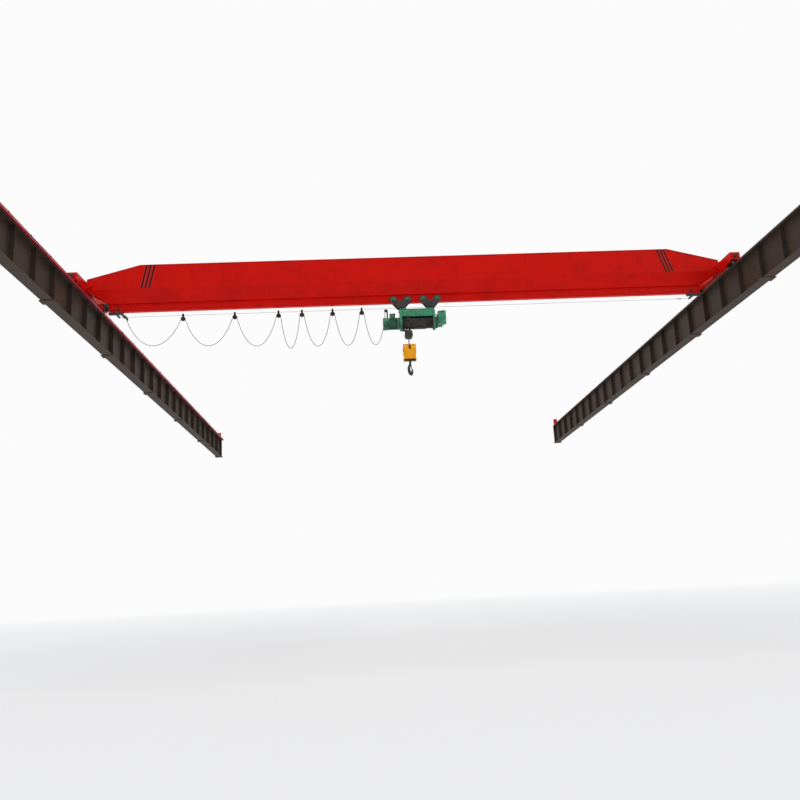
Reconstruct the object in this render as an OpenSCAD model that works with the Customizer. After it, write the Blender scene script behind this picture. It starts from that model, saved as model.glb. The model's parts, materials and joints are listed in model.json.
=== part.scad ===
// Overhead travelling crane: a tapered welded girder on two end carriages,
// a rope hoist on two trolleys under it, and the two runway beams it rolls on.
// X runs across the hall, Y along the runways, Z up.
// The origin is the underside of the left runway's seat plate at one column line.

/* [Runway] */
// Distance between the two crane rails
span = 19500; // [19000:100:20000]
// Distance between column lines along the runway
bay = 5000; // [4800:100:5200]
// Whole bays of runway that are built
bays = 6; // [4:1:6]
// Depth of each runway beam
runway_h = 1000; // [900:20:1100]
// Width of the runway beam's flanges
runway_flange_w = 320; // [300:10:340]
// Thickness of the runway beam's flanges
runway_flange_t = 20; // [16:1:24]
// Thickness of the runway beam's web
runway_web_t = 12; // [10:1:16]
// Height of the crane rail
rail_h = 134; // [120:1:150]
// Width of the rail's head
rail_head_w = 68; // [60:1:70]
// Width of the rail's foot
rail_foot_w = 114; // [105:1:125]

/* [Girder] */
// Distance of the crane from the column line at the origin
crane_y = 2500; // [2000:50:3000]
// Height of the girder's top above the rail
girder_rise = 810; // [760:10:860]
// Width over the girder's webs
girder_w = 500; // [460:10:540]
// Height of the upright part of the webs
web_h = 743; // [700:1:780]
// Half the length of the girder's level top
level_half = 8010; // [7800:10:8200]
// Drop of the top plate at each end
taper_drop = 420; // [380:10:450]
// Depth of the rolled beam along the bottom
beam_h = 280; // [260:5:300]
// Width of the rolled beam's flanges
beam_w = 122; // [115:1:130]
// Depth of the girder from its top to the rolled beam's underside
girder_h = 1386; // [1340:2:1420]

/* [End carriages] */
// Length of each end carriage
carriage_l = 2800; // [2600:50:3000]
// Distance of each end carriage's middle behind the girder's
carriage_shift = 400; // [0:50:450]
// Width of each end carriage
carriage_w = 300; // [280:5:310]
// Height of each end carriage
carriage_h = 290; // [280:5:350]
// Distance of each wheel's axle from the carriage's end
wheel_inset = 300; // [280:10:350]
// Diameter of the wheel's tread
wheel_d = 270; // [260:5:290]

/* [Hoist] */
// Distance of the hoist's middle from mid-span
hoist_offset = 166; // [100:1:250]
// Distance between the two trolleys
trolley_pitch = 900; // [880:10:940]
// Distance between the wheels of one trolley
trolley_base = 430; // [420:5:440]
// Diameter of the trolley wheel's tread
trolley_wheel_d = 170; // [160:5:175]
// Diameter of the rope drum
drum_d = 345; // [330:5:350]
// Diameter of the hoist motor
motor_d = 380; // [360:5:400]
// Diameter of the wire rope
rope_d = 16; // [12:1:18]

/* [Hook block] */
// Distance of the sheave's axis below the drum's axis
block_drop = 860; // [840:10:900]
// Width of the hook block over its cheeks
block_w = 360; // [340:10:380]
// Diameter of the cheeks round the sheave
cheek_d = 420; // [410:10:440]
// Thickness of the hook's bar
hook_bar = 80; // [70:2:84]

/* [Festoon cable] */
// Diameter of the hanging cable
cable_d = 16; // [12:1:20]
// Length of cable in each loop
loop_l = 2450; // [2200:50:2600]
// Gaps between the cable's hanging points, from the left end
loop_gaps = [1730, 1550, 1320, 710, 930, 890, 780];

/* [Hidden] */
$fn = 64;

// Gap left at a touching pair that moves, at a pin, and past a fixed piece
touch = 0.5;
pin_gap = 0.1;
clear = 6;

// Colours
girder_red = [0.86, 0.13, 0.03];
hoist_green = [0.10, 0.48, 0.32];
block_orange = [1.0, 0.62, 0.08];
dark_steel = [0.12, 0.11, 0.11];
runway_brown = [0.27, 0.22, 0.21];

// Runway levels and column lines
seat_t = 20;
runway_top = seat_t + runway_h;
rail_top = runway_top + rail_h;
runway_y0 = -bay;
runway_y1 = runway_y0 + bays * bay;
rail_x = [0, span];
column_y = [for (i = [0 : bays]) runway_y0 + i * bay];

// Girder levels and lengths
mid_x = span / 2;
girder_top = rail_top + girder_rise;
girder_bottom = girder_top - girder_h;
web_bottom = girder_top - web_h;
plate_t = 8;
top_plate_t = 10;
carriage_inner = mid_x - carriage_w / 2;
flange_plate_t = 20;
girder_half = carriage_inner - flange_plate_t;
beam_top = girder_bottom + beam_h;
rake_run = 630;
beam_half = girder_half - rake_run;
beam_flange_t = 14;
beam_web_t = 9;
slant_inner = girder_w / 2 - beam_flange_t * (girder_w - beam_w) / 2
    / (web_bottom - beam_top + beam_flange_t);
stop_inset = 242;

// Carriage levels
carriage_y = crane_y + carriage_shift;
wheelbase = carriage_l - 2 * wheel_inset;
carriage_z0 = rail_top + 40;
carriage_z1 = carriage_z0 + carriage_h;
carriage_plate = 10;
axle_z = rail_top + wheel_d / 2 + touch;
axle_r = 32;
bearing_r = 58;
bearing_t = 14;
wheel_flange_r = wheel_d / 2 + 18;
wheel_tread_w = rail_head_w + 2 * clear;

// Hoist levels
hoist_x = mid_x + hoist_offset;
flange_top = girder_bottom + beam_flange_t;
trolley_z = flange_top + trolley_wheel_d / 2 + touch;
trolley_flange_r = trolley_wheel_d / 2 + 30;
trolley_plate_y = beam_w / 2 + 24;
trolley_plate_t = 12;
trolley_axle_r = 22;
casing_top = girder_bottom - 290;
casing_h = 200;
drum_z = girder_bottom - 644;
hanger_z = girder_bottom - 137;
hanger_rail_h = 120;
frame_left = [-560, -445];
frame_right = [490, 620];
frame_half_y = 235;
frame_plate_t = 62;
casing_plate = 6;
hanger_pin_r = 20;
motor_end = 1010;
terminal_x = [800, 640];
gear_r = 158;
gear_rise = 130;
gear_top_r = 104;
box_x = [628, 863];
box_y = [crane_y - 335, crane_y - gear_r - 10];
drum_x = [frame_left[1] + clear, frame_right[0] - clear];
drum_shaft_r = 45;
fall_y = drum_d / 2 + rope_d / 2 + touch;
anchor_bottom = drum_z - 440;
trip_drop = 470;
rod_r = 9;
rod_y = crane_y - frame_half_y + rod_r + 2;
rod_z = drum_z + 60;

// Hook block levels, about the rope falls
fall_x = hoist_x - 260;
sheave_z = drum_z - block_drop;
cheek_r = cheek_d / 2;
cheek_t = 14;
cheek_bottom = sheave_z - 330;
shank_r = 34;
sheave_pin_r = 30;
hook_r = 118;
hook_z = cheek_bottom - 270;
hook_turn = 60;
latch_pivot = [42, 150];
latch_l = 112;
latch_lean = 23;
latch_pin_r = 5;

// Festoon: hanging points are the running totals of the gaps
cable_x0 = mid_x - beam_half + 350;
function total(v, n) = n <= 0 ? 0 : v[n - 1] + total(v, n - 1);
tow_x = hoist_x - 856;
gap_scale = (tow_x - cable_x0) / total(loop_gaps, len(loop_gaps));
hang_x = [for (i = [0 : len(loop_gaps)]) cable_x0 + gap_scale * total(loop_gaps, i)];
wire_end = beam_half - 180;
wire_r = 5;
wire_y = crane_y + 330;
wire_z = girder_bottom - 30;
pulley_r = 18;
pulley_z = wire_z + wire_r + pulley_r + touch;
saddle_r = 56;
hang_z = wire_z - 100;
saddle_z = hang_z - 10;
loop_drop = 14;
bend_step = 22.5;
loop_end = (saddle_r + 0.3) / cos(bend_step / 2) + cable_d / 2;
cable_box = [22, 62];
function loop_depth(w) = sqrt(3 / 16 * (loop_l * loop_l - w * w));

// A box between two values on each axis
module slab(x, y, z) {
    translate([x[0], y[0], z[0]]) cube([x[1] - x[0], y[1] - y[0], z[1] - z[0]]);
}

// Round bars between two values along one axis
module bar_x(x, y, z, r) {
    translate([x[0], y, z]) rotate([0, 90, 0]) cylinder(h = x[1] - x[0], r = r);
}

module bar_y(x, y, z, r) {
    translate([x, y[1], z]) rotate([90, 0, 0]) cylinder(h = y[1] - y[0], r = r);
}

module bar_z(x, y, z, r) {
    translate([x, y, z[0]]) cylinder(h = z[1] - z[0], r = r);
}

// A section drawn in Y and Z, run along X, and one drawn in X and Z, run along Y
module run_x(x) {
    translate([x[0], 0, 0]) rotate([90, 0, 90]) linear_extrude(x[1] - x[0]) children();
}

module run_y(y) {
    translate([0, y[1], 0]) rotate([90, 0, 0]) linear_extrude(y[1] - y[0]) children();
}

// A profile of radius and height turned about a line along X, and about one along Y
module turned_x(x, y, z) {
    translate([x, y, z]) rotate([0, 90, 0]) rotate_extrude() children();
}

module turned_y(x, y, z) {
    translate([x, y, z]) rotate([-90, 0, 0]) rotate_extrude() children();
}

// A cover's outline in Y and Z, with its two upper corners rounded
module cover_outline(half, z, corner) {
    translate([crane_y - half, z[0]]) square([2 * half, z[1] - z[0] - corner]);
    translate([crane_y - half + corner, z[0]]) square([2 * (half - corner), z[1] - z[0]]);
    for (side = [-1, 1])
        translate([crane_y + side * (half - corner), z[1] - corner]) circle(r = corner);
}

// A ribbed motor with end shields; the fan's cowl sits at the end named by out
module ribbed_motor(x, y, z, r, ribs, out) {
    shield = 0.09 * (x[1] - x[0]);
    cowl = 0.3 * (x[1] - x[0]);
    body = out < 0 ? [x[0] + cowl, x[1]] : [x[0], x[1] - cowl];
    bar_x(body, y, z, 0.82 * r);
    for (i = [0 : ribs - 1])
        translate([body[0], y, z])
            rotate([360 * i / ribs, 0, 0])
                translate([0, -0.014 * r, 0.7 * r]) cube([body[1] - body[0], 0.028 * r, 0.24 * r]);
    bar_x([body[0], body[0] + shield], y, z, 0.96 * r);
    bar_x([body[1] - shield, body[1]], y, z, 0.96 * r);
    turned_x(out < 0 ? body[0] : body[1], y, z)
        scale([1, out])
            polygon([[0, 0], [r, 0], [r, 0.86 * cowl], [0.93 * r, cowl], [0, cowl]]);
}

// A rolled or welded I section standing on its lower flange
module i_section(h, w, flange_t, web_t) {
    translate([-w / 2, 0]) square([w, flange_t]);
    translate([-w / 2, h - flange_t]) square([w, flange_t]);
    translate([-web_t / 2, 0]) square([web_t, h]);
}

// Rail section: foot, web and head
module rail_section() {
    polygon([
        [-rail_foot_w / 2, 0], [rail_foot_w / 2, 0], [rail_foot_w / 2, 10], [8, 26],
        [7, rail_h - 48], [rail_head_w / 2, rail_h - 36], [rail_head_w / 2, rail_h],
        [-rail_head_w / 2, rail_h], [-rail_head_w / 2, rail_h - 36], [-7, rail_h - 48],
        [-8, 26], [-rail_foot_w / 2, 10]
    ]);
}

module runway_beam(x) {
    color(runway_brown)
        translate([x, 0, seat_t])
            run_y([runway_y0, runway_y1])
                i_section(runway_h, runway_flange_w, runway_flange_t, runway_web_t);
}

module crane_rails() {
    color("dimgray")
        for (x = rail_x)
            translate([x, 0, runway_top])
                run_y([runway_y0, runway_y1])
                    rail_section();
}

// Clips hold the rail's foot down along both sides
module rail_clips() {
    clip_pitch = 1000;
    clip_n = bays * bay / clip_pitch;
    heel = rail_foot_w / 2 + pin_gap;
    color(dark_steel)
        for (x = rail_x, i = [0 : clip_n - 1], side = [-1, 1])
            translate([x, 0, runway_top])
                run_y([runway_y0 + (i + 0.5) * clip_pitch - 30, runway_y0 + (i + 0.5) * clip_pitch + 30])
                    polygon([
                        [side * heel, 0], [side * (heel + 36), 0], [side * (heel + 36), 22],
                        [side * (heel + 4), 27], [side * (heel - 14), 27],
                        [side * (heel - 14), 16], [side * heel, 11]
                    ]);
}

// Web stiffeners stand between the flanges, closer together than the columns
module web_stiffeners() {
    stiffener_pitch = bay / 4;
    depth = (runway_flange_w - runway_web_t) / 2 - 20;
    color(runway_brown)
        for (x = rail_x, i = [0 : 4 * bays], side = [-1, 1]) {
            y = min(max(runway_y0 + i * stiffener_pitch, runway_y0 + 20), runway_y1 - 20);
            near = x + side * (runway_web_t / 2 + depth / 2);
            slab([near - depth / 2, near + depth / 2], [y - 5, y + 5],
                [seat_t + runway_flange_t, runway_top - runway_flange_t]);
        }
}

// Seat plates carry the beams at the column lines, four bolts in each
module seat_plates() {
    color(runway_brown)
        for (x = rail_x, y = column_y) {
            at_y = min(max(y, runway_y0 + 150), runway_y1 - 150);
            difference() {
                slab([x - 210, x + 210], [at_y - 150, at_y + 150], [0, seat_t]);
                for (dx = [-180, 180], dy = [-100, 100]) bar_z(x + dx, at_y + dy, [-1, seat_t + 1], 13);
            }
        }
}

// Stops at the ends of the rails, each with a raking strut and a rubber face
module end_stops() {
    stop_z = rail_top + 260;
    buffer_z = rail_top + 205;
    post_x = [rail_foot_w / 2 + clear, 105];
    color(girder_red)
        for (x = rail_x, side = [-1, 1]) {
            end = side < 0 ? runway_y0 : runway_y1;
            face = end - side * 98;
            back = face + side * 28;
            foot = end - side * 8;
            post_y = [min(face, back), max(face, back)];
            slab([x - post_x[1], x + post_x[1]], post_y, [rail_top + clear, stop_z]);
            for (s = [-1, 1]) {
                near = min(s * post_x[0], s * post_x[1]);
                slab([x + near, x + near + post_x[1] - post_x[0]], post_y,
                    [runway_top, rail_top + clear]);
                run_x([x + s * 84 - 7, x + s * 84 + 7])
                    polygon([
                        [back, runway_top], [foot, runway_top], [foot, runway_top + 60],
                        [back, stop_z - 10]
                    ]);
            }
            bar_y(x, [min(face, face - side * 12), max(face, face - side * 12)], buffer_z, 58);
        }
}

// Enclosed conductor bar, open below, along the top inner edge of the left beam
conductor_x = runway_flange_w / 2 + 62;
conductor_z = [runway_top - 50, runway_top + 22];
module conductor_bar() {
    wall = 8;
    half = 26;
    color([0.55, 0.05, 0.05])
        translate([conductor_x, 0, 0])
            run_y([runway_y0, runway_y1])
                difference() {
                    polygon([
                        [-half, conductor_z[0]], [half, conductor_z[0]], [half, conductor_z[0] + 10],
                        [half - 4, conductor_z[0] + 14], [half - 4, conductor_z[1] - 14],
                        [half, conductor_z[1] - 10], [half, conductor_z[1]], [-half, conductor_z[1]],
                        [-half, conductor_z[1] - 10], [4 - half, conductor_z[1] - 14],
                        [4 - half, conductor_z[0] + 14], [-half, conductor_z[0] + 10]
                    ]);
                    translate([-half + 4 + wall, conductor_z[0] - 1])
                        square([2 * (half - 4 - wall), conductor_z[1] - conductor_z[0] + 1 - wall]);
                }
}

module conductor_brackets() {
    bracket_pitch = 1250;
    bracket_n = bays * bay / bracket_pitch;
    jaw = conductor_x + 26;
    arm_z = [conductor_z[1], conductor_z[1] + 10];
    color(dark_steel)
        for (i = [0 : bracket_n - 1]) {
            y = runway_y0 + (i + 0.5) * bracket_pitch;
            slab([105, 155], [y - 30, y + 30], [runway_top, arm_z[0]]);
            slab([105, jaw + 8], [y - 20, y + 20], arm_z);
            slab([jaw, jaw + 8], [y - 20, y + 20], [arm_z[0] - 24, arm_z[0]]);
            slab([jaw - 60, jaw - 52], [y - 20, y + 20], [arm_z[0] - 24, arm_z[0]]);
        }
}

// End carriage: a box of plates, open below at the wheels, bored for their axles
module carriage(x) {
    half = carriage_l / 2;
    inner = carriage_w / 2 - carriage_plate;
    floor_half = wheelbase / 2 - wheel_flange_r - 30;
    color(girder_red)
        translate([x, carriage_y, 0]) {
            difference() {
                union() {
                    for (side = [-1, 1]) {
                        middle = side * (inner + carriage_plate / 2);
                        run_x([middle - carriage_plate / 2, middle + carriage_plate / 2])
                            polygon([
                                [-half, carriage_z0 + 60], [-half + 60, carriage_z0],
                                [half - 60, carriage_z0],
                                [half, carriage_z0 + 60], [half, carriage_z1], [-half, carriage_z1]
                            ]);
                    }
                    for (side = [-1, 1], end = [-1, 1]) {
                        boss = side * (carriage_w / 2 + bearing_t / 2);
                        bar_x([boss - bearing_t / 2, boss + bearing_t / 2], end * wheelbase / 2,
                            axle_z, bearing_r);
                    }
                }
                for (side = [-1, 1])
                    bar_x([-carriage_w, carriage_w], side * wheelbase / 2, axle_z, axle_r + pin_gap);
            }
            slab([-inner, inner], [-half, half], [carriage_z1 - carriage_plate, carriage_z1]);
            slab([-inner, inner], [-floor_half, floor_half], [carriage_z0, carriage_z0 + carriage_plate]);
            for (side = [-1, 1]) {
                end = side * (half - carriage_plate / 2);
                slab([-inner, inner], [end - carriage_plate / 2, end + carriage_plate / 2],
                    [carriage_z0 + 60, carriage_z1 - carriage_plate]);
                wall = side * (floor_half - carriage_plate / 2);
                slab([-inner, inner], [wall - carriage_plate / 2, wall + carriage_plate / 2],
                    [carriage_z0 + carriage_plate, carriage_z1 - carriage_plate]);
            }
        }
}

// Rubber buffers on the four carriage ends
module carriage_buffers() {
    buffer_z = rail_top + 205;
    color(dark_steel)
        for (x = rail_x, side = [-1, 1])
            turned_y(x, carriage_y + side * carriage_l / 2, buffer_z)
                scale([1, side])
                    polygon([[0, 0], [62, 0], [62, 10], [48, 14], [48, 70], [56, 80], [50, 90], [0, 90]]);
}

// Wheel with two flanges on its own axle; the tread rests on the rail
module bridge_wheel(x, side) {
    tread = wheel_tread_w / 2;
    out = tread + 20;
    rim_r = wheel_d / 2 - 26;
    hub_r = 60;
    web = 15;
    color(dark_steel) {
        turned_x(x, carriage_y + side * wheelbase / 2, axle_z)
            polygon([
                [0, -out], [hub_r, -out], [hub_r + 5, -web], [rim_r, -web], [rim_r + 5, -out],
                [wheel_flange_r, -out], [wheel_flange_r, -tread - 5], [wheel_d / 2, -tread],
                [wheel_d / 2, tread], [wheel_flange_r, tread + 5], [wheel_flange_r, out],
                [rim_r + 5, out], [rim_r, web], [hub_r + 5, web], [hub_r, out], [0, out]
            ]);
        bar_x([x - carriage_w / 2 - bearing_t - 8, x + carriage_w / 2 + bearing_t + 8],
            carriage_y + side * wheelbase / 2, axle_z, axle_r);
    }
}

// Outline of the webs: level top, tapers, and lower corners cut back at the ends
web_outline = [
    [mid_x - girder_half, girder_top - taper_drop], [mid_x - level_half, girder_top],
    [mid_x + level_half, girder_top], [mid_x + girder_half, girder_top - taper_drop],
    [mid_x + girder_half, web_bottom], [mid_x - girder_half, web_bottom]
];

module girder_web(side) {
    y = crane_y + side * (girder_w / 2 - plate_t / 2);
    color(girder_red)
        run_y([y - plate_t / 2, y + plate_t / 2])
            polygon(web_outline);
}

// Top plate follows the level top and both tapers
module girder_top_plate() {
    over = 15;
    color(girder_red)
        run_y([crane_y - girder_w / 2 - over, crane_y + girder_w / 2 + over])
            polygon([
                [mid_x - girder_half, girder_top - taper_drop],
                [mid_x - level_half, girder_top], [mid_x + level_half, girder_top],
                [mid_x + girder_half, girder_top - taper_drop],
                [mid_x + girder_half, girder_top - taper_drop + top_plate_t],
                [mid_x + level_half, girder_top + top_plate_t],
                [mid_x - level_half, girder_top + top_plate_t],
                [mid_x - girder_half, girder_top - taper_drop + top_plate_t]
            ]);
}

// Slanted plates close the girder in from the webs to the rolled beam
module girder_slant(side) {
    out = girder_w / 2;
    color(girder_red)
        intersection() {
            run_x([mid_x - girder_half, mid_x + girder_half])
                polygon([
                    [crane_y + side * out, web_bottom],
                    [crane_y + side * beam_w / 2, beam_top - beam_flange_t],
                    [crane_y + side * beam_w / 2, beam_top],
                    [crane_y + side * slant_inner, web_bottom]
                ]);
            run_y([crane_y - girder_w, crane_y + girder_w])
                polygon([
                    [mid_x - girder_half, web_bottom], [mid_x + girder_half, web_bottom],
                    [mid_x + beam_half, beam_top - 40], [mid_x - beam_half, beam_top - 40]
                ]);
        }
}

module girder_beam() {
    color(girder_red)
        translate([0, crane_y, girder_bottom])
            run_x([mid_x - beam_half, mid_x + beam_half])
                i_section(beam_h, beam_w, beam_flange_t, beam_web_t);
}

// Bolted end plates against the carriages, and raking plates that close the
// cut-back lower corners from the webs down to the rolled beam
module girder_ends() {
    foot = beam_w / 2 - touch;
    rake_top = slant_inner - touch;
    color(girder_red)
        for (side = [-1, 1]) {
            x = mid_x + side * (girder_half + flange_plate_t / 2);
            slab([x - flange_plate_t / 2, x + flange_plate_t / 2],
                [crane_y - girder_w / 2 - 60, crane_y + girder_w / 2 + 60],
                [carriage_z0 + 10, carriage_z1]);
            for (s = [-1, 1])
                run_y([crane_y + s * (girder_w / 2 + 30) - 6, crane_y + s * (girder_w / 2 + 30) + 6])
                    polygon([
                        [mid_x + side * girder_half, carriage_z0 + 30],
                        [mid_x + side * (girder_half - 160), carriage_z0 + 150],
                        [mid_x + side * (girder_half - 160), carriage_z0 + 190],
                        [mid_x + side * girder_half, carriage_z1 - 10]
                    ]);
            for (s = [-1, 1]) {
                rib_y = crane_y + s * (girder_w / 2 + 18);
                slab([min(mid_x + side * girder_half, mid_x + side * (girder_half - 160)),
                    max(mid_x + side * girder_half, mid_x + side * (girder_half - 160))],
                    [rib_y - 18, rib_y + 18], [carriage_z0 + 165, carriage_z0 + 175]);
            }
            intersection() {
                run_y([crane_y - girder_w, crane_y + girder_w])
                    polygon([
                        [mid_x + side * girder_half, web_bottom],
                        [mid_x + side * (girder_half - 14), web_bottom],
                        [mid_x + side * beam_half, beam_top - 30],
                        [mid_x + side * beam_half, girder_bottom + 20],
                        [mid_x + side * (beam_half + 12), girder_bottom + 20],
                        [mid_x + side * (beam_half + 12), beam_top - 40]
                    ]);
                run_x([mid_x - girder_half, mid_x + girder_half])
                    polygon([
                        [crane_y - rake_top, web_bottom], [crane_y - foot, beam_top],
                        [crane_y - foot, girder_bottom], [crane_y + foot, girder_bottom],
                        [crane_y + foot, beam_top], [crane_y + rake_top, web_bottom]
                    ]);
            }
        }
}

// Taut wire that the cable carriers run on, alongside the rolled beam
module festoon_wire() {
    reach = wire_end - 25;
    color("silver")
        bar_x([mid_x - reach, mid_x + reach], wire_y, wire_z, wire_r);
}

// Stops on both sides of the rolled beam's web near each end, and the dark
// brackets under the beam's ends whose arms hold the cable's wire
module trolley_stops() {
    pad = 16;
    color(dark_steel)
        for (end = [-1, 1]) {
            stop_x = mid_x + end * (beam_half - stop_inset);
            bracket_x = mid_x + end * wire_end;
            for (side = [-1, 1]) {
                y = crane_y + side * (beam_web_t / 2 + 27);
                slab([stop_x - 60, stop_x + 60], [y - 27, y + 27], [flange_top, flange_top + 14]);
                slab([stop_x - 8, stop_x + 8], [y - 27, y + 27], [flange_top + 14, flange_top + 150]);
                slab([min(stop_x, stop_x - end * (8 + pad)), max(stop_x, stop_x - end * (8 + pad))],
                    [y - 22, y + 22], [flange_top + 60, flange_top + 130]);
                run_y([y - 5, y + 5])
                    polygon([
                        [stop_x + end * 8, flange_top + 14], [stop_x + end * 56, flange_top + 14],
                        [stop_x + end * 8, flange_top + 120]
                    ]);
            }
            slab([bracket_x - 210, bracket_x + 210], [crane_y - beam_w / 2, crane_y + beam_w / 2],
                [girder_bottom - 60, girder_bottom]);
            slab([bracket_x - 25, bracket_x + 25], [crane_y + beam_w / 2, wire_y + 25],
                [girder_bottom - 50, girder_bottom - 10]);
        }
    box_at = hang_x[0] + loop_end;
    color(dark_steel) {
        slab([hang_x[0] - 30, box_at + cable_box[0]], [crane_y + beam_w / 2 - 20, wire_y + 30],
            [girder_bottom - 66, girder_bottom - 60]);
        slab([box_at - cable_box[0], box_at + cable_box[0]], [wire_y - 30, wire_y + 30],
            [saddle_z + 12, girder_bottom - 66]);
        bar_z(box_at, wire_y, [saddle_z, saddle_z + 12], cable_d / 2 + 6);
    }
}

// Geared motors that drive one wheel on each carriage
module travel_drives() {
    drive_l = 330;
    color(dark_steel)
        for (side = [-1, 1]) {
            x = mid_x + side * (mid_x - carriage_w / 2 - bearing_t);
            y = carriage_y + wheelbase / 2;
            case_x = side < 0 ? [x + 12, x + 140] : [x - 140, x - 12];
            motor_x = side < 0 ? [x + 140, x + 140 + drive_l] : [x - 140 - drive_l, x - 140];
            foot_x = side < 0 ? [x - bearing_t, x + 40] : [x - 40, x + bearing_t];
            run_x(case_x)
                union() {
                    translate([y, axle_z]) circle(r = 106);
                    translate([y, axle_z + 84]) circle(r = 96);
                    translate([y - 93, axle_z]) square([186, 80]);
                }
            ribbed_motor(motor_x, y, axle_z + 66, 92, 18, -side);
            slab(foot_x, [y - 150, y - 70], [axle_z - 45, axle_z + 45]);
        }
}

// Arm round the conductor bar, with the shoe that takes current at its open underside
module current_collector() {
    arm_y = carriage_y + wheelbase / 2 - 400;
    post_x = [conductor_x + 44, conductor_x + 62];
    shoe_z = [conductor_z[0] - clear - 34, conductor_z[0] - clear];
    color(dark_steel) {
        slab([carriage_w / 2, post_x[1]], [arm_y - 20, arm_y + 20], [carriage_z0 + 60, carriage_z0 + 84]);
        slab(post_x, [arm_y - 20, arm_y + 20], [shoe_z[0], carriage_z0 + 60]);
        slab([conductor_x - 8, post_x[0]], [arm_y - 14, arm_y + 14], [shoe_z[0], shoe_z[0] + 12]);
        run_x([conductor_x - 8, conductor_x + 8])
            polygon([
                [arm_y - 90, shoe_z[1] - 6], [arm_y - 78, shoe_z[1]], [arm_y + 78, shoe_z[1]],
                [arm_y + 90, shoe_z[1] - 6], [arm_y + 60, shoe_z[0]], [arm_y - 60, shoe_z[0]]
            ]);
    }
}

// Two end frames carry the drum's shaft; round below, square above
module frame_profile() {
    union() {
        translate([crane_y, drum_z]) circle(r = frame_half_y);
        translate([crane_y - frame_half_y, drum_z]) square([2 * frame_half_y, casing_top - drum_z]);
    }
}

module hoist_end_frames() {
    plate = frame_plate_t;
    left = [hoist_x + frame_left[0], hoist_x + frame_left[1]];
    right = [hoist_x + frame_right[0], hoist_x + frame_right[1]];
    color(hoist_green)
        difference() {
            union() {
                run_x([left[1] - plate, left[1]]) frame_profile();
                run_x([right[0], right[0] + plate]) frame_profile();
                bar_x([left[0], left[1] - plate], crane_y, drum_z, 150);
                bar_x([right[0] + plate, right[1]], crane_y, drum_z, 150);
                bar_x([left[0], left[0] + 16], crane_y, drum_z, motor_d / 2 - 4);
                bar_x([right[1] - 16, right[1]], crane_y, drum_z, motor_d / 2 - 4);
                for (a = [30 : 60 : 330])
                    translate([0, crane_y, drum_z])
                        rotate([a, 0, 0]) {
                            slab([left[0] + 16, left[1] - plate], [-6, 6], [140, motor_d / 2 - 10]);
                            slab([right[0] + plate, right[1] - 16], [-6, 6], [140, motor_d / 2 - 10]);
                        }
            }
            bar_x([hoist_x + drum_x[0] - 62, hoist_x + drum_x[1] + 62], crane_y, drum_z,
                drum_shaft_r + pin_gap);
        }
}

// Casing over the drum with the four lugs that hang from the trolleys
module hoist_casing() {
    lug_y = trolley_plate_y - 20;
    seam = 7;
    ends = [hoist_x + frame_left[1], hoist_x + frame_right[0]];
    color(hoist_green) {
        for (part = [[ends[0], hoist_x - seam], [hoist_x + seam, ends[1]]])
            run_x(part)
                difference() {
                    cover_outline(200, [casing_top - casing_h, casing_top], 34);
                    cover_outline(200 - casing_plate,
                        [casing_top - casing_h - 1, casing_top - casing_plate], 34 - casing_plate);
                }
        run_x([hoist_x - 26, hoist_x + 26])
            difference() {
                cover_outline(200 - casing_plate, [casing_top - casing_h, casing_top - casing_plate],
                    34 - casing_plate);
                cover_outline(200 - 2 * casing_plate,
                    [casing_top - casing_h - 1, casing_top - 2 * casing_plate], 34 - 2 * casing_plate);
            }
        for (side = [-1, 1]) {
            y = crane_y + side * lug_y;
            x = trolley_pitch / 2;
            run_y([y - 8, y + 8])
                translate([hoist_x, casing_top])
                    polygon([
                        [-x, 0], [x, 0], [x, hanger_rail_h], [x - 130, hanger_rail_h],
                        [x - 170, 0.7 * hanger_rail_h], [170 - x, 0.7 * hanger_rail_h],
                        [130 - x, hanger_rail_h], [-x, hanger_rail_h]
                    ]);
        }
        for (t = [-1, 1], side = [-1, 1]) {
            x = hoist_x + t * trolley_pitch / 2;
            y = crane_y + side * lug_y;
            difference() {
                union() {
                    run_y([y - 8, y + 8])
                        polygon([
                            [x - 90, casing_top], [x + 90, casing_top], [x + 60, casing_top + 34],
                            [x + 60, hanger_z], [x - 60, hanger_z], [x - 60, casing_top + 34]
                        ]);
                    bar_y(x, [y - 8, y + 8], hanger_z, 60);
                }
                bar_y(x, [y - 20, y + 20], hanger_z, hanger_pin_r + pin_gap);
            }
        }
    }
}

// Ring round the drum that lays the rope, slotted for it, with a lug on the guide rod
module rope_guide() {
    ring_x = [fall_x - 60, fall_x + 60];
    ring_r = drum_d / 2 + rope_d + clear;
    color(dark_steel)
        difference() {
            union() {
                bar_x(ring_x, crane_y, drum_z, ring_r + 14);
                bar_x([fall_x - 18, fall_x + 18], crane_y, drum_z, ring_r + 16);
                slab([fall_x - 34, fall_x + 34], [rod_y - 20, crane_y - ring_r + 10],
                    [rod_z - 22, rod_z + 22]);
            }
            bar_x([ring_x[0] - 1, ring_x[1] + 1], crane_y, drum_z, ring_r);
            slab([fall_x - 25, fall_x + 25], [crane_y - 300, crane_y + 300], [drum_z - 300, drum_z]);
            bar_x([ring_x[0] - 1, ring_x[1] + 1], rod_y, rod_z, rod_r + pin_gap);
        }
}

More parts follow.
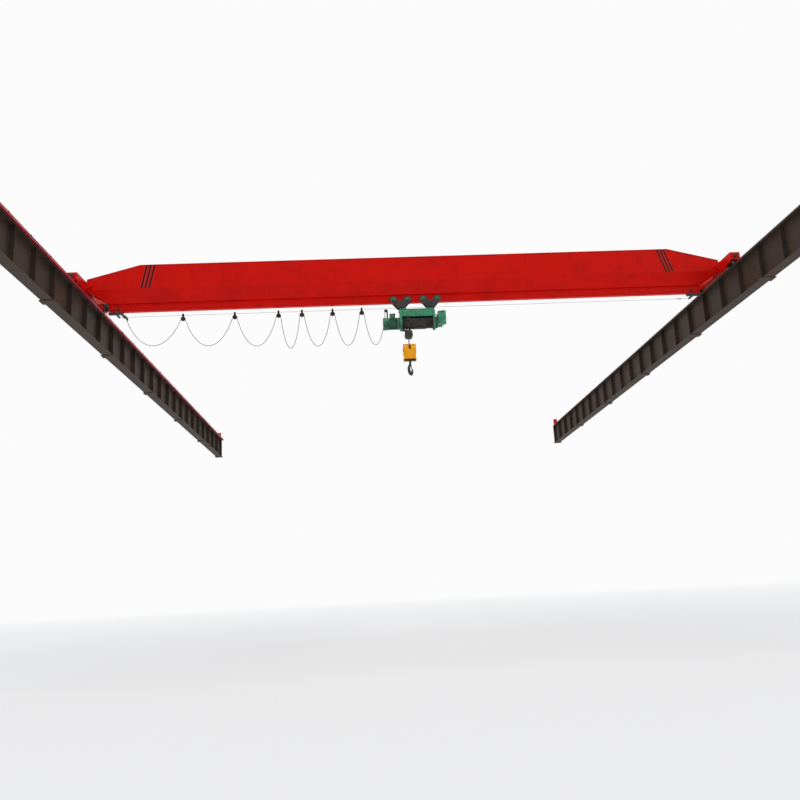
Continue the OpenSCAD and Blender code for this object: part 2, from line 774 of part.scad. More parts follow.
// Cranked arm from the left frame, past the rope guide, that anchors the rope's dead end
module rope_anchor() {
    root_z = [drum_z - 150, drum_z - 110];
    arm_z = [drum_z - 258, drum_z - 218];
    drop_x = [fall_x - 100, fall_x - 76];
    arm_y = [crane_y + fall_y - 16, crane_y + fall_y + 22];
    color(dark_steel) {
        slab([hoist_x + frame_left[1], drop_x[1]], arm_y, root_z);
        slab(drop_x, arm_y, [arm_z[0], root_z[1]]);
        slab([drop_x[0], fall_x + 30], arm_y, arm_z);
        translate([fall_x, crane_y + fall_y, arm_z[0] - 150]) cylinder(h = 150, r1 = 20, r2 = 30);
        bar_y(fall_x, [crane_y + fall_y - 34, crane_y + fall_y + 34], arm_z[0] - 30, 11);
        bar_z(fall_x, crane_y + fall_y, [anchor_bottom, arm_z[0] - 150], 14);
    }
}

// Block under the drum that the rising hook block trips, hung from the left frame,
// and the rod along the drum that the rope guide slides on, with a collar near each end
module limit_switch() {
    block_z = [drum_z - trip_drop, drum_z - trip_drop + 220];
    color(dark_steel) {
        run_y([crane_y - 110, crane_y + 110])
            polygon([
                [fall_x - 80, block_z[1]], [fall_x + 80, block_z[1]], [fall_x + 115, block_z[1] - 45],
                [fall_x + 115, block_z[0] + 60], [fall_x + 85, block_z[0]], [fall_x - 85, block_z[0]],
                [fall_x - 115, block_z[0] + 60], [fall_x - 115, block_z[1] - 45]
            ]);
        slab([fall_x - 122, fall_x + 122], [crane_y - 117, crane_y + 117],
            [block_z[0] + 72, block_z[0] + 90]);
        slab([hoist_x + frame_left[1], fall_x + 20], [crane_y - 40, crane_y + 40],
            [block_z[1] + 8, block_z[1] + 33]);
        slab([fall_x - 20, fall_x + 20], [crane_y - 40, crane_y + 40], [block_z[1], block_z[1] + 8]);
        bar_x([hoist_x + frame_left[1], hoist_x + frame_right[0]], rod_y, rod_z, rod_r);
        for (x = [hoist_x + frame_left[1] + 40, hoist_x + frame_right[0] - 90])
            bar_x([x, x + 24], rod_y, rod_z, rod_r + 7);
    }
}

// Lifting motor with its terminal box and a wider cowl over the brake
module hoist_motor() {
    color(hoist_green) {
        ribbed_motor([hoist_x - motor_end, hoist_x + frame_left[0]], crane_y, drum_z, motor_d / 2, 30, -1);
        slab([hoist_x - terminal_x[0], hoist_x - terminal_x[1]], [crane_y - 90, crane_y + 90],
            [drum_z + 0.9 * motor_d / 2, drum_z + motor_d / 2 + 90]);
        slab([hoist_x - terminal_x[0] - 8, hoist_x - terminal_x[1] + 8], [crane_y - 98, crane_y + 98],
            [drum_z + motor_d / 2 + 90, drum_z + motor_d / 2 + 104]);
    }
}

module gearbox() {
    near = hoist_x + frame_right[1];
    color(hoist_green) {
        run_x([near, near + 18]) gear_outline(0);
        run_x([near + 18, near + 132]) gear_outline(14);
        run_x([near + 68, near + 80]) gear_outline(2);
        run_x([near + 132, near + 148]) gear_outline(2);
        bar_x([near + 148, near + 196], crane_y, drum_z, 96);
        bar_x([near + 148, near + 176], crane_y, drum_z + gear_rise, 62);
    }
}

// Gear case outline: round about the drum's axis and about the gear above it
module gear_outline(inset) {
    translate([crane_y, drum_z]) circle(r = gear_r - inset);
    translate([crane_y, drum_z + gear_rise]) circle(r = gear_top_r - inset);
    translate([crane_y - gear_top_r + inset, drum_z])
        square([2 * (gear_top_r - inset), gear_rise]);
}

// Box for the switchgear, held before the gear case by two arms from the right frame
module control_box() {
    box_z = [drum_z - 134, casing_top - 116];
    x = [hoist_x + box_x[0], hoist_x + box_x[1]];
    face = hoist_x + frame_right[0] + frame_plate_t;
    color(hoist_green) {
        slab(x, box_y, box_z);
        slab([x[0] + 8, x[1] - 8], [box_y[0] - 12, box_y[0]], [box_z[0] + 12, box_z[1] - 30]);
        slab([x[0] - 4, x[1] + 4], [box_y[0] - 16, box_y[1] + 4], [box_z[1], box_z[1] + 8]);
        for (z = [box_z[0] + 60, box_z[1] - 90])
            slab([face, x[0]], [crane_y - frame_half_y + 7, crane_y - frame_half_y + 29], [z, z + 30]);
    }
}

// Trolley side plates with their axles' stub shafts and the hanger pins
module trolley_frames() {
    half = trolley_base / 2;
    shoulder_z = trolley_z - 34;
    outer = trolley_plate_y + trolley_plate_t;
    color(dark_steel)
        for (t = [-1, 1]) {
            x = hoist_x + t * trolley_pitch / 2;
            for (side = [-1, 1]) {
                y = crane_y + side * (trolley_plate_y + trolley_plate_t / 2);
                plate_y = [y - trolley_plate_t / 2, y + trolley_plate_t / 2];
                difference() {
                    union() {
                        run_y(plate_y)
                            polygon([
                                [x - half - 46, shoulder_z], [x + half + 46, shoulder_z],
                                [x + half + 46, shoulder_z - 46], [x + 90, hanger_z - 45],
                                [x - 90, hanger_z - 45], [x - half - 46, shoulder_z - 46]
                            ]);
                        for (w = [-1, 1]) {
                            bar_y(x + w * half, plate_y, trolley_z, 42);
                            slab([x + w * half - 42, x + w * half + 42], plate_y, [shoulder_z, trolley_z]);
                        }
                    }
                    for (w = [-1, 1])
                        bar_y(x + w * half, [y - trolley_plate_t, y + trolley_plate_t],
                            trolley_z, trolley_axle_r + pin_gap);
                }
                collar = side < 0
                    ? [crane_y - outer - 14, crane_y - outer]
                    : [crane_y + outer, crane_y + outer + 14];
                bar_y(x, collar, hanger_z, hanger_pin_r + 12);
            }
            bar_y(x, [crane_y - outer - 24, crane_y + outer + 24], hanger_z, hanger_pin_r);
        }
}

// Arm from the casing that pushes and pulls the end of the cable along
module towing_arm() {
    arm_z = [casing_top - 90, casing_top - 60];
    root_x = [hoist_x + frame_left[1] - frame_plate_t, hoist_x + frame_left[1]];
    end_x = tow_x;
    color(dark_steel) {
        slab(root_x, [crane_y + frame_half_y, wire_y + 75], arm_z);
        slab([end_x - 20, root_x[1]], [wire_y + 45, wire_y + 75], arm_z);
        slab([end_x - 20, end_x + 20], [wire_y + 45, wire_y + 75], [arm_z[1], wire_z - 20]);
    }
}

// A pair of trolley wheels, one on each side of the rolled beam
module trolley_wheel_pair(n) {
    x = hoist_x + (n < 3 ? -1 : 1) * trolley_pitch / 2 + (n % 2 == 1 ? -1 : 1) * trolley_base / 2;
    tread = [beam_web_t / 2 + 18, beam_w / 2 + clear];
    face = tread[1] + 12;
    tread_r = trolley_wheel_d / 2;
    color(hoist_green)
        for (side = [-1, 1])
            turned_y(x, crane_y, trolley_z)
                scale([1, side])
                    polygon([
                        [0, tread[0]], [tread_r - 4, tread[0]], [tread_r, tread[0] + 4],
                        [tread_r, tread[1]],
                        [trolley_flange_r, tread[1] + 3], [trolley_flange_r, face],
                        [tread_r - 6, face], [tread_r - 10, face - 7], [40, face - 7], [36, face + 4],
                        [trolley_axle_r, face + 4],
                        [trolley_axle_r, trolley_plate_y + trolley_plate_t + 10],
                        [0, trolley_plate_y + trolley_plate_t + 10]
                    ]);
}

// Drum between the end frames, with the rope wound on it
module rope_drum() {
    length = drum_x[1] - drum_x[0];
    rim = drum_d / 2 + rope_d - 2;
    color(dark_steel) {
        turned_x(hoist_x + drum_x[0], crane_y, drum_z)
            polygon([
                [0, 0], [rim, 0], [rim, 14], [drum_d / 2, 18], [drum_d / 2, length - 18],
                [rim, length - 14], [rim, length], [0, length]
            ]);
        bar_x([hoist_x + drum_x[0] - 60, hoist_x + drum_x[1] + 60], crane_y, drum_z, drum_shaft_r);
    }
}

// The two falls of rope: one comes off the drum, the other hangs from the anchor
module rope_falls() {
    color("dimgray") {
        bar_z(fall_x, crane_y - fall_y, [sheave_z, drum_z], rope_d / 2);
        bar_z(fall_x, crane_y + fall_y, [sheave_z, anchor_bottom], rope_d / 2);
    }
}

// Hook block housing: cheeks round the sheave that narrow to the crosshead,
// and a cover bent round between them, open above for the rope and below for the hook
module block_housing() {
    inner = block_w / 2 - cheek_t;
    skin = 8;
    color(block_orange) {
        for (side = [-1, 1]) {
            x = fall_x + side * (block_w / 2 - cheek_t / 2);
            boss = fall_x + side * (block_w / 2 + 4);
            difference() {
                union() {
                    run_x([x - cheek_t / 2, x + cheek_t / 2]) block_outline(0, cheek_bottom);
                    bar_x([boss - 4, boss + 4], crane_y, sheave_z, 62);
                }
                bar_x([x - 40, x + 40], crane_y, sheave_z, sheave_pin_r + pin_gap);
            }
        }
        difference() {
            run_x([fall_x - inner, fall_x + inner])
                difference() {
                    block_outline(6, cheek_bottom + 55);
                    block_outline(6 + skin, cheek_bottom + 54);
                }
            for (side = [-1, 1])
                slab([fall_x - 30, fall_x + 30],
                    [crane_y + side * fall_y - 40, crane_y + side * fall_y + 40],
                    [sheave_z, sheave_z + 300]);
        }
    }
}

// Block outline: round over the sheave, narrowing to the crosshead
module block_outline(inset, bottom) {
    translate([crane_y, sheave_z]) circle(r = cheek_r - inset);
    run = (cheek_r - 90) / (sheave_z - 40 - cheek_bottom);
    foot = 90 + run * (bottom - cheek_bottom) - inset;
    polygon([
        [crane_y - cheek_r + 4 + inset, sheave_z - 40], [crane_y + cheek_r - 4 - inset, sheave_z - 40],
        [crane_y + foot, bottom], [crane_y - foot, bottom]
    ]);
}

module block_sheave() {
    groove_r = fall_y - rope_d / 2 - touch;
    rim_r = groove_r + 17;
    color(dark_steel) {
        turned_x(fall_x, crane_y, sheave_z)
            polygon([
                [0, -35], [70, -35], [76, -16], [rim_r - 34, -16], [rim_r - 30, -26], [rim_r, -26],
                [rim_r, -21], [groove_r, -9], [groove_r, 9], [rim_r, 21], [rim_r, 26],
                [rim_r - 30, 26], [rim_r - 34, 16], [76, 16], [70, 35], [0, 35]
            ]);
        bar_x([fall_x - block_w / 2 - 18, fall_x + block_w / 2 + 18], crane_y, sheave_z, sheave_pin_r);
    }
}

// Crosshead between the cheeks; the hook's shank turns in it
module hook_crosshead() {
    inner = block_w / 2 - cheek_t;
    color(dark_steel)
        difference() {
            slab([fall_x - inner, fall_x + inner], [crane_y - 55, crane_y + 55],
                [cheek_bottom + 10, cheek_bottom + 90]);
            bar_z(fall_x, crane_y, [cheek_bottom, cheek_bottom + 100], shank_r + pin_gap);
        }
}

// A tube swept along points in the X and Z plane, with a radius at each point;
// flare widens its inner side and narrows its outer side, depth deepens it
module swept_bar(path, radii, sides, flare = [], depth = []) {
    n = len(path);
    function along(i) =
        let (d = path[min(i + 1, n - 1)] - path[max(i - 1, 0)])
        d / norm(d);
    function part(list, i) = len(list) == 0 ? 0 : list[i];
    rings = [
        for (i = [0 : n - 1])
            let (d = along(i), across = [-d[2], 0, d[0]])
            for (k = [0 : sides - 1])
                let (c = cos(360 * k / sides), s = sin(360 * k / sides))
                path[i] + radii[i] * ((1 + part(depth, i)) * c * across
                    + (1 + part(flare, i) * c) * s * [0, 1, 0])
    ];
    walls = [
        for (i = [0 : n - 2], k = [0 : sides - 1])
            let (a = i * sides + k, b = i * sides + (k + 1) % sides)
            [a, b, b + sides, a + sides]
    ];
    first = [for (k = [sides - 1 : -1 : 0]) k];
    last = [for (k = [0 : sides - 1]) (n - 1) * sides + k];
    polyhedron(rings, concat([first], walls, [last]));
}

// The hook's middle line: the neck swings out from the shank, then the bowl turns up to the tip
neck_steps = 10;
bowl_steps = 30;
neck_top = 225;
bowl_turn = 207;
function bezier(p, t) =
    pow(1 - t, 3) * p[0] + 3 * pow(1 - t, 2) * t * p[1] + 3 * (1 - t) * t * t * p[2] + pow(t, 3) * p[3];
hook_neck = [[0, 0, neck_top], [0, 0, 125], [-hook_r, 0, 100], [-hook_r, 0, 0]];
hook_path = concat(
    [for (i = [0 : neck_steps - 1]) bezier(hook_neck, i / neck_steps)],
    [for (i = [0 : bowl_steps])
        let (a = 180 + bowl_turn * i / bowl_steps)
        hook_r * [cos(a), 0, sin(a)]]
);
// The bar swells from the neck to the bottom of the bowl and thins to the tip
hook_radii = concat(
    [for (i = [0 : neck_steps - 1]) shank_r + (hook_bar / 2 - shank_r) * i / neck_steps],
    [for (i = [0 : bowl_steps])
        let (u = i / bowl_steps)
        u < 0.45 ? hook_bar / 2 + 6 * sin(200 * u) : max(15, (hook_bar / 2 + 6) * cos(126 * (u - 0.45)))]
);

// The section grows from round at the shank to a rounded wedge in the bowl
hook_flare = [for (i = [0 : neck_steps + bowl_steps]) 0.2 * min(1, i / neck_steps)];

// Forged single hook, turned a little from the girder's crosswise plane
module hook() {
    ear = [latch_pivot[0] - 46, latch_pivot[0]];
    color(dark_steel)
        translate([fall_x, crane_y, hook_z])
            rotate([0, 0, hook_turn]) {
                swept_bar(hook_path, hook_radii, 18, hook_flare, hook_flare / 2);
                translate([0, 0, neck_top])
                    cylinder(h = cheek_bottom + 100 - hook_z - neck_top, r = shank_r);
                translate([0, 0, cheek_bottom + 91 - hook_z]) cylinder(h = 30, r = shank_r + 16);
                difference() {
                    for (side = [-1, 1]) {
                        middle = side * 20;
                        translate([ear[0], middle - 4, latch_pivot[1] - 11]) cube([46, 8, 22]);
                        bar_y(ear[1], [middle - 4, middle + 4], latch_pivot[1], 11);
                    }
                    bar_y(ear[1], [-30, 30], latch_pivot[1], latch_pin_r + pin_gap);
                }
            }
}

// Sprung latch across the hook's mouth; its foot rests inside the tip
module hook_latch() {
    color("silver")
        translate([fall_x, crane_y, hook_z])
            rotate([0, 0, hook_turn])
                translate([latch_pivot[0], 0, latch_pivot[1]])
                    rotate([0, -latch_lean, 0]) {
                        translate([-4, -13, -latch_l]) cube([4, 26, latch_l]);
                        for (side = [-1, 1])
                            translate([-4, side * 13 - 1.5, 8 - latch_l]) cube([11, 3, latch_l - 14]);
                        bar_y(0, [-15, 15], 0, 9);
                        bar_y(0, [-26, 26], 0, latch_pin_r);
                    }
}

// Carrier whose grooved pulley runs on the wire; the cable passes between its plates
// and lies over its saddle
module cable_carrier(n) {
    plate_y = [cable_d / 2 + clear + 1, cable_d / 2 + clear + 6];
    color(dark_steel)
        translate([hang_x[n], wire_y, 0]) {
            for (side = [-1, 1]) {
                y = [min(side * plate_y[0], side * plate_y[1]), max(side * plate_y[0], side * plate_y[1])];
                run_y(y)
                    polygon([
                        [-16, saddle_z], [16, saddle_z], [28, wire_z - 30], [28, pulley_z + 18],
                        [18, pulley_z + 28], [-18, pulley_z + 28], [-28, pulley_z + 18], [-28, wire_z - 30]
                    ]);
                bar_y(0, [min(side * plate_y[1], side * (plate_y[1] + 3)),
                    max(side * plate_y[1], side * (plate_y[1] + 3))], saddle_z, saddle_r + 10);
            }
            turned_y(0, 0, pulley_z)
                polygon([
                    [0, -plate_y[0]], [9, -plate_y[0]], [9, -9], [pulley_r + 6, -9], [pulley_r, -6],
                    [pulley_r, 6], [pulley_r + 6, 9], [9, 9], [9, plate_y[0]], [0, plate_y[0]]
                ]);
            slab([-24, 24], [-plate_y[0], plate_y[0]], [wire_z - 24, wire_z - 12]);
            bar_y(0, [-plate_y[1], plate_y[1]], saddle_z, saddle_r);
        }
}

// Box with a gland that ends the cable, carried along by the towing arm
module cable_clamp() {
    x = tow_x - loop_end;
    color(dark_steel) {
        slab([x - cable_box[0], tow_x - 20 - touch], [wire_y - 30, wire_y + 60],
            [saddle_z + 12, saddle_z + 12 + cable_box[1]]);
        bar_z(x, wire_y, [saddle_z, saddle_z + 12], cable_d / 2 + 6);
    }
}

// The cable hangs in one loop between each two neighbours and runs on over the saddles
module festoon_cable() {
    steps = 12;
    last = len(loop_gaps) - 1;
    color("dimgray")
        for (i = [0 : last]) {
            w = hang_x[i + 1] - hang_x[i] - 2 * loop_end;
            d = loop_depth(w);
            over = [for (a = [90 : -bend_step : bend_step]) loop_end * [cos(a), 0, sin(a)]];
            start = [hang_x[i], wire_y, saddle_z];
            end = [hang_x[i + 1], wire_y, saddle_z];
            loop = [
                for (s = [0 : steps])
                    let (u = s / steps)
                    start + [
                        loop_end + w * (0.6 * u + 0.2 * (1 - cos(180 * u))), 0,
                        -loop_drop - d * sin(180 * u)
                    ]
            ];
            path = concat(
                i == 0 ? [] : [for (p = over) start + p],
                [start + [loop_end, 0, 0]], loop, [end - [loop_end, 0, 0]],
                i == last ? [] : [for (k = [len(over) - 1 : -1 : 0]) end + [-over[k][0], 0, over[k][2]]]
            );
            swept_bar(path, [for (p = path) cable_d / 2], 8);
        }
}

runway_beam(rail_x[0]);  // runway_beam_left
runway_beam(rail_x[1]);  // runway_beam_right
crane_rails();
rail_clips();
web_stiffeners();
seat_plates();
end_stops();
conductor_bar();
conductor_brackets();
carriage(rail_x[0]);  // carriage_left
carriage(rail_x[1]);  // carriage_right
carriage_buffers();
girder_top_plate();
girder_web(-1);  // girder_web_front
girder_web(1);  // girder_web_back
girder_slant(-1);  // girder_slant_front
girder_slant(1);  // girder_slant_back
girder_beam();
girder_ends();
trolley_stops();
festoon_wire();
travel_drives();
current_collector();
bridge_wheel(rail_x[0], -1);  // wheel_left_front
bridge_wheel(rail_x[0], 1);  // wheel_left_back
bridge_wheel(rail_x[1], -1);  // wheel_right_front
bridge_wheel(rail_x[1], 1);  // wheel_right_back
hoist_end_frames();
hoist_casing();
rope_guide();
rope_anchor();
limit_switch();
hoist_motor();
gearbox();
control_box();
trolley_frames();
towing_arm();
trolley_wheel_pair(1);  // trolley_wheels_1
trolley_wheel_pair(2);  // trolley_wheels_2
trolley_wheel_pair(3);  // trolley_wheels_3
trolley_wheel_pair(4);  // trolley_wheels_4
rope_drum();
rope_falls();
block_housing();
block_sheave();
hook_crosshead();
hook();
hook_latch();
cable_carrier(1);  // cable_carrier_1
cable_carrier(2);  // cable_carrier_2
cable_carrier(3);  // cable_carrier_3
cable_carrier(4);  // cable_carrier_4
cable_carrier(5);  // cable_carrier_5
cable_carrier(6);  // cable_carrier_6
cable_clamp();
festoon_cable();
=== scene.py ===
# %% [markdown]
# An overhead crane seen from low down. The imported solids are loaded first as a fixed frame,
# and everything after that only dresses them: finishes, ropes, cables, fasteners and paint marks.
# All lengths are metres, X along the girder, Y along the runways, Z up.

import json
import math

import bmesh
import bpy
from mathutils import Matrix, Vector

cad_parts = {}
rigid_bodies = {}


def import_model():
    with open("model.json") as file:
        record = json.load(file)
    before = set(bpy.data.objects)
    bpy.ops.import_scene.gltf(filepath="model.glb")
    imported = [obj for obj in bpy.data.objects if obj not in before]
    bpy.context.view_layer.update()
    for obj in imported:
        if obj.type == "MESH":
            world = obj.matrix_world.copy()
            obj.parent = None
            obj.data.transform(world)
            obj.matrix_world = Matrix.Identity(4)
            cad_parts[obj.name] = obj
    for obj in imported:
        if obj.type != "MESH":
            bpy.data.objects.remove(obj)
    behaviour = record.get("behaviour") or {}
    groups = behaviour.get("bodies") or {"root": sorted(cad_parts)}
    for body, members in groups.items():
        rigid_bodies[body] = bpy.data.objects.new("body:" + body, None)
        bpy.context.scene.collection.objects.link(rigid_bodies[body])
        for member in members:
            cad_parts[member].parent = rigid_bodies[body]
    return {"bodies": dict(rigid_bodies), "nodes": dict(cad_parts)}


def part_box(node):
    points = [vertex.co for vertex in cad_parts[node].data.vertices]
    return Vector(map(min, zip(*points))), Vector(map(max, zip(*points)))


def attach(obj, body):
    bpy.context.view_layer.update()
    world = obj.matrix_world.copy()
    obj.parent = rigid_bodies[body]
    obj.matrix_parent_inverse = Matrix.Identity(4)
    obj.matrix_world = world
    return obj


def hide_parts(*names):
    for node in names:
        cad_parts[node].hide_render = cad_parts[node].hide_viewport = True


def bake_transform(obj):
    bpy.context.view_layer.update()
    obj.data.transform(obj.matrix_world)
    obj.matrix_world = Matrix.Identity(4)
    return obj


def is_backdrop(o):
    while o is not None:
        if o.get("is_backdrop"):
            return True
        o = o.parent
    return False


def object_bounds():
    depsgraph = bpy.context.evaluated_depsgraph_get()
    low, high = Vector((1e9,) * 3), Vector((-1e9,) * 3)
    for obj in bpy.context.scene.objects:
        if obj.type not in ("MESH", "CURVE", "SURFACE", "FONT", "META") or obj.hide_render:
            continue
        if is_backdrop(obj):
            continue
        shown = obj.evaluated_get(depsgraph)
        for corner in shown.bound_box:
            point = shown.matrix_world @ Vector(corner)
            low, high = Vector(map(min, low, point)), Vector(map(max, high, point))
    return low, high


for left_over in list(bpy.data.objects):
    bpy.data.objects.remove(left_over)
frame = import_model()
cad_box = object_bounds()
nodes = frame["nodes"]
print("loaded", len(nodes), "solids on", len(frame["bodies"]), "bodies")

# %% [markdown]
# A few sizes steer every dressing piece. Most are read from the solids' own boxes, so a piece
# cannot drift from the part that carries it. Only what a box cannot tell, such as the drum's
# radius under its rims or the rope's diameter, is written down here.

# %% Sizes read from the solids
web_low, web_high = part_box("girder_web_front")
top_low, top_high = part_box("girder_top_plate")
beam_low, beam_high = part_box("girder_beam")
drum_low, drum_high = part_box("rope_drum")
motor_low, motor_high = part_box("hoist_motor")
block_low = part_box("block_housing")[0]
falls_low, falls_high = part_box("rope_falls")
box_low, box_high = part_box("control_box")
rail_low, rail_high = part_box("crane_rails")

mid_x = (web_low.x + web_high.x) / 2
crane_y = (top_low.y + top_high.y) / 2
hoist_x = motor_low.x + 1.010
web_half = crane_y - web_low.y
crease_z = web_low.z
girder_top = web_high.z
girder_half = (web_high.x - web_low.x) / 2
rail_top = rail_high.z
span = rail_high.x + rail_low.x
drum_z = (drum_low.z + drum_high.z) / 2
rope_d = 0.016
drum_r = 0.1725
fall_r = drum_r + rope_d / 2 + 0.0005
fall_x = (falls_low.x + falls_high.x) / 2
sheave_z = falls_low.z
print("mid-span", round(mid_x, 3), "girder top", round(girder_top, 3), "drum axis", round(drum_z, 3))

# %% [markdown]
# The camera stands low, a little left of mid-span, and looks up at the crane.
# Its place, turn and lens were worked out from the girder's own edges and the lines of the
# runways, so that the crane fills the frame as the eye saw it there.

# %% Camera
eye = Vector((8.109, -20.165, -7.849))
yaw, pitch, roll = (math.radians(a) for a in (2.996, 13.436, -2.957))
focal_share = 793.477 / 800
forward = Vector((math.sin(yaw) * math.cos(pitch), math.cos(yaw) * math.cos(pitch), math.sin(pitch)))
level = Vector((math.cos(yaw), -math.sin(yaw), 0))
upright = level.cross(forward)
right = math.cos(roll) * level + math.sin(roll) * upright
up = -math.sin(roll) * level + math.cos(roll) * upright
camera_data = bpy.data.cameras.new("hall_camera")
camera_data.sensor_width = 36
camera_data.lens = 36 * focal_share
camera_data.clip_end = 500
camera = bpy.data.objects.new("hall_camera", camera_data)
camera.matrix_world = Matrix.Translation(eye) @ Matrix((right, up, -forward)).transposed().to_4x4()
bpy.context.scene.collection.objects.link(camera)
bpy.context.scene.camera = camera
print("camera", tuple(round(v, 2) for v in eye), "lens", round(camera_data.lens, 2), "mm")

# %% [markdown]
# Most pieces here are tubes, turned shapes, plates or bolt heads. Each helper below returns plain
# lists of points and faces, and one last helper turns such lists into an object that rides on a
# body, takes a finish and shades smooth except across its real edges.

# %% Make an object from points and faces
finishes = {}
weld_gap = 2.5e-5


def piece(name, shape, finish, body, crisp=32):
    # shape is a pair of lists: points, and faces that count the points from nought
    points, faces = shape
    mesh = bpy.data.meshes.new(name)
    mesh.from_pydata([tuple(p) for p in points], [], faces)
    # the ring of points on a turned shape's axis becomes one point, and every face looks outwards
    cleaned = bmesh.new()
    cleaned.from_mesh(mesh)
    bmesh.ops.remove_doubles(cleaned, verts=cleaned.verts, dist=weld_gap)
    bmesh.ops.recalc_face_normals(cleaned, faces=cleaned.faces)
    cleaned.to_mesh(mesh)
    cleaned.free()
    mesh.validate()
    mesh.polygons.foreach_set("use_smooth", [True] * len(mesh.polygons))
    mesh.set_sharp_from_angle(angle=math.radians(crisp))
    made = bpy.data.objects.new(name, mesh)
    bpy.context.scene.collection.objects.link(made)
    if finish:
        mesh.materials.append(finish)
    if body:
        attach(made, body)
    return made


# %% Gather many like shapes into one object
class Gather:
    def __init__(self):
        self.points = []
        self.faces = []

    def __iter__(self):
        return iter((self.points, self.faces))

    def add(self, shape):
        points, faces = shape
        start = len(self.points)
        self.points.extend(points)
        self.faces.extend([[start + i for i in face] for face in faces])


# %% Tubes that follow a line
def along(points):
    # a steady pair of side directions for each point of a line
    sides = []
    last = None
    for i, p in enumerate(points):
        ahead = points[min(i + 1, len(points) - 1)] - points[max(i - 1, 0)]
        ahead.normalize()
        if last is None:
            across = ahead.orthogonal().normalized()
        else:
            across = (last - ahead * last.dot(ahead)).normalized()
        sides.append((across, ahead.cross(across)))
        last = across
    return sides


def tube(points, radius, sides=12, lobes=0, twist=0.0, depth=0.14):
    points = [Vector(p) for p in points]
    frames = along(points)
    made, faces, run = [], [], 0.0
    for i, p in enumerate(points):
        if i:
            run += (p - points[i - 1]).length
        r = radius[i] if isinstance(radius, (list, tuple)) else radius
        across, other = frames[i]
        for k in range(sides):
            a = 2 * math.pi * k / sides
            if lobes:
                share = abs(math.sin(lobes * (a + twist * run) / 2))
                reach = r * (1 - depth + depth * share)
            else:
                reach = r
            made.append(p + reach * (math.cos(a) * across + math.sin(a) * other))
    for i in range(len(points) - 1):
        for k in range(sides):
            a, b = i * sides + k, i * sides + (k + 1) % sides
            faces.append([a, b, b + sides, a + sides])
    faces.append(list(range(sides - 1, -1, -1)))
    faces.append([(len(points) - 1) * sides + k for k in range(sides)])
    return made, faces


# %% Turned shapes
AXES = {
    "x": (Vector((1, 0, 0)), Vector((0, 1, 0)), Vector((0, 0, 1))),
    "y": (Vector((0, 1, 0)), Vector((0, 0, 1)), Vector((1, 0, 0))),
    "z": (Vector((0, 0, 1)), Vector((1, 0, 0)), Vector((0, 1, 0))),
}


def turned(profile, centre, axis, segments=48, flip=1):
    # profile is a list of (radius, height); a closed form starts and ends on the axis
    ahead, across, other = AXES[axis]
    made, faces = [], []
    n = len(profile)
    for r, h in profile:
        for k in range(segments):
            a = 2 * math.pi * k / segments
            side = math.cos(a) * across + math.sin(a) * other
            made.append(Vector(centre) + ahead * h * flip + side * max(r, 1e-5))
    for i in range(n - 1):
        for k in range(segments):
            a, b = i * segments + k, i * segments + (k + 1) % segments
            quad = [a, b, b + segments, a + segments]
            faces.append(quad if flip > 0 else quad[::-1])
    return made, faces


def ring(profile, centre, axis, segments=48, flip=1):
    # a turned shape with a hole: its profile closes on itself
    return turned(profile + profile[:1], centre, axis, segments, flip)


# %% Boxes with softened edges, and flat plates with a thickness
def block(low, high, soft=0.002):
    shape = bmesh.new()
    bmesh.ops.create_cube(shape, size=1)
    low, high = Vector(low), Vector(high)
    for v in shape.verts:
        v.co = Vector(low[i] + (v.co[i] + 0.5) * (high[i] - low[i]) for i in range(3))
    if soft:
        bmesh.ops.bevel(shape, geom=shape.edges[:], offset=soft, segments=2, affect="EDGES", profile=0.5)
    points = [v.co.copy() for v in shape.verts]
    faces = [[v.index for v in f.verts] for f in shape.faces]
    shape.free()
    return points, faces


def plate(outline, thickness, way):
    # outline is a loop of points, pushed along way by the thickness
    way = Vector(way).normalized() * thickness
    n = len(outline)
    points = [Vector(p) for p in outline] + [Vector(p) + way for p in outline]
    faces = [list(range(n - 1, -1, -1)), list(range(n, 2 * n))]
    for k in range(n):
        faces.append([k, (k + 1) % n, n + (k + 1) % n, n + k])
    return points, faces


# %% Hexagon heads on washers
def bolt(at, axis, across, flip=1, head=None, washer=True):
    head = head or 0.62 * across
    ahead, side, other = AXES[axis]
    at = Vector(at)
    t = 0.14 * across if washer else 0
    points, faces = [], []
    if washer:
        disc = [(0, 0), (0.98 * across, 0), (0.98 * across, t), (0, t)]
        points, faces = turned(disc, at, axis, 20, flip)
    start = len(points)
    corner = across / math.sqrt(3)
    for reach, h in ((corner, t), (corner, t + 0.8 * head), (0.8 * corner, t + head), (0.001, t + head)):
        for k in range(6):
            a = math.pi / 3 * k + 0.2
            points.append(at + ahead * h * flip + (math.cos(a) * side + math.sin(a) * other) * reach)
    for i in range(3):
        for k in range(6):
            a, b = start + 6 * i + k, start + 6 * i + (k + 1) % 6
            quad = [a, b, b + 6, a + 6]
            faces.append(quad if flip > 0 else quad[::-1])
    faces.append([start + k for k in range(5, -1, -1)])
    faces.append([start + 18 + k for k in range(6)])
    return points, faces


print("helpers ready: tube, turned, block, plate, bolt")

# %% [markdown]
# The power cable hangs in loops from carriers on a taut wire. Each loop leaves its carrier over a
# round saddle, drops straight, sags under its own weight and climbs to the next saddle. It could
# be one long curve, but the carriers move apart and together, so each loop is a tube of its own
# that runs between the two carriers that hold it. All loops are the same round rubber cable.

# %% Hanging cable loops
cable_d = 0.016
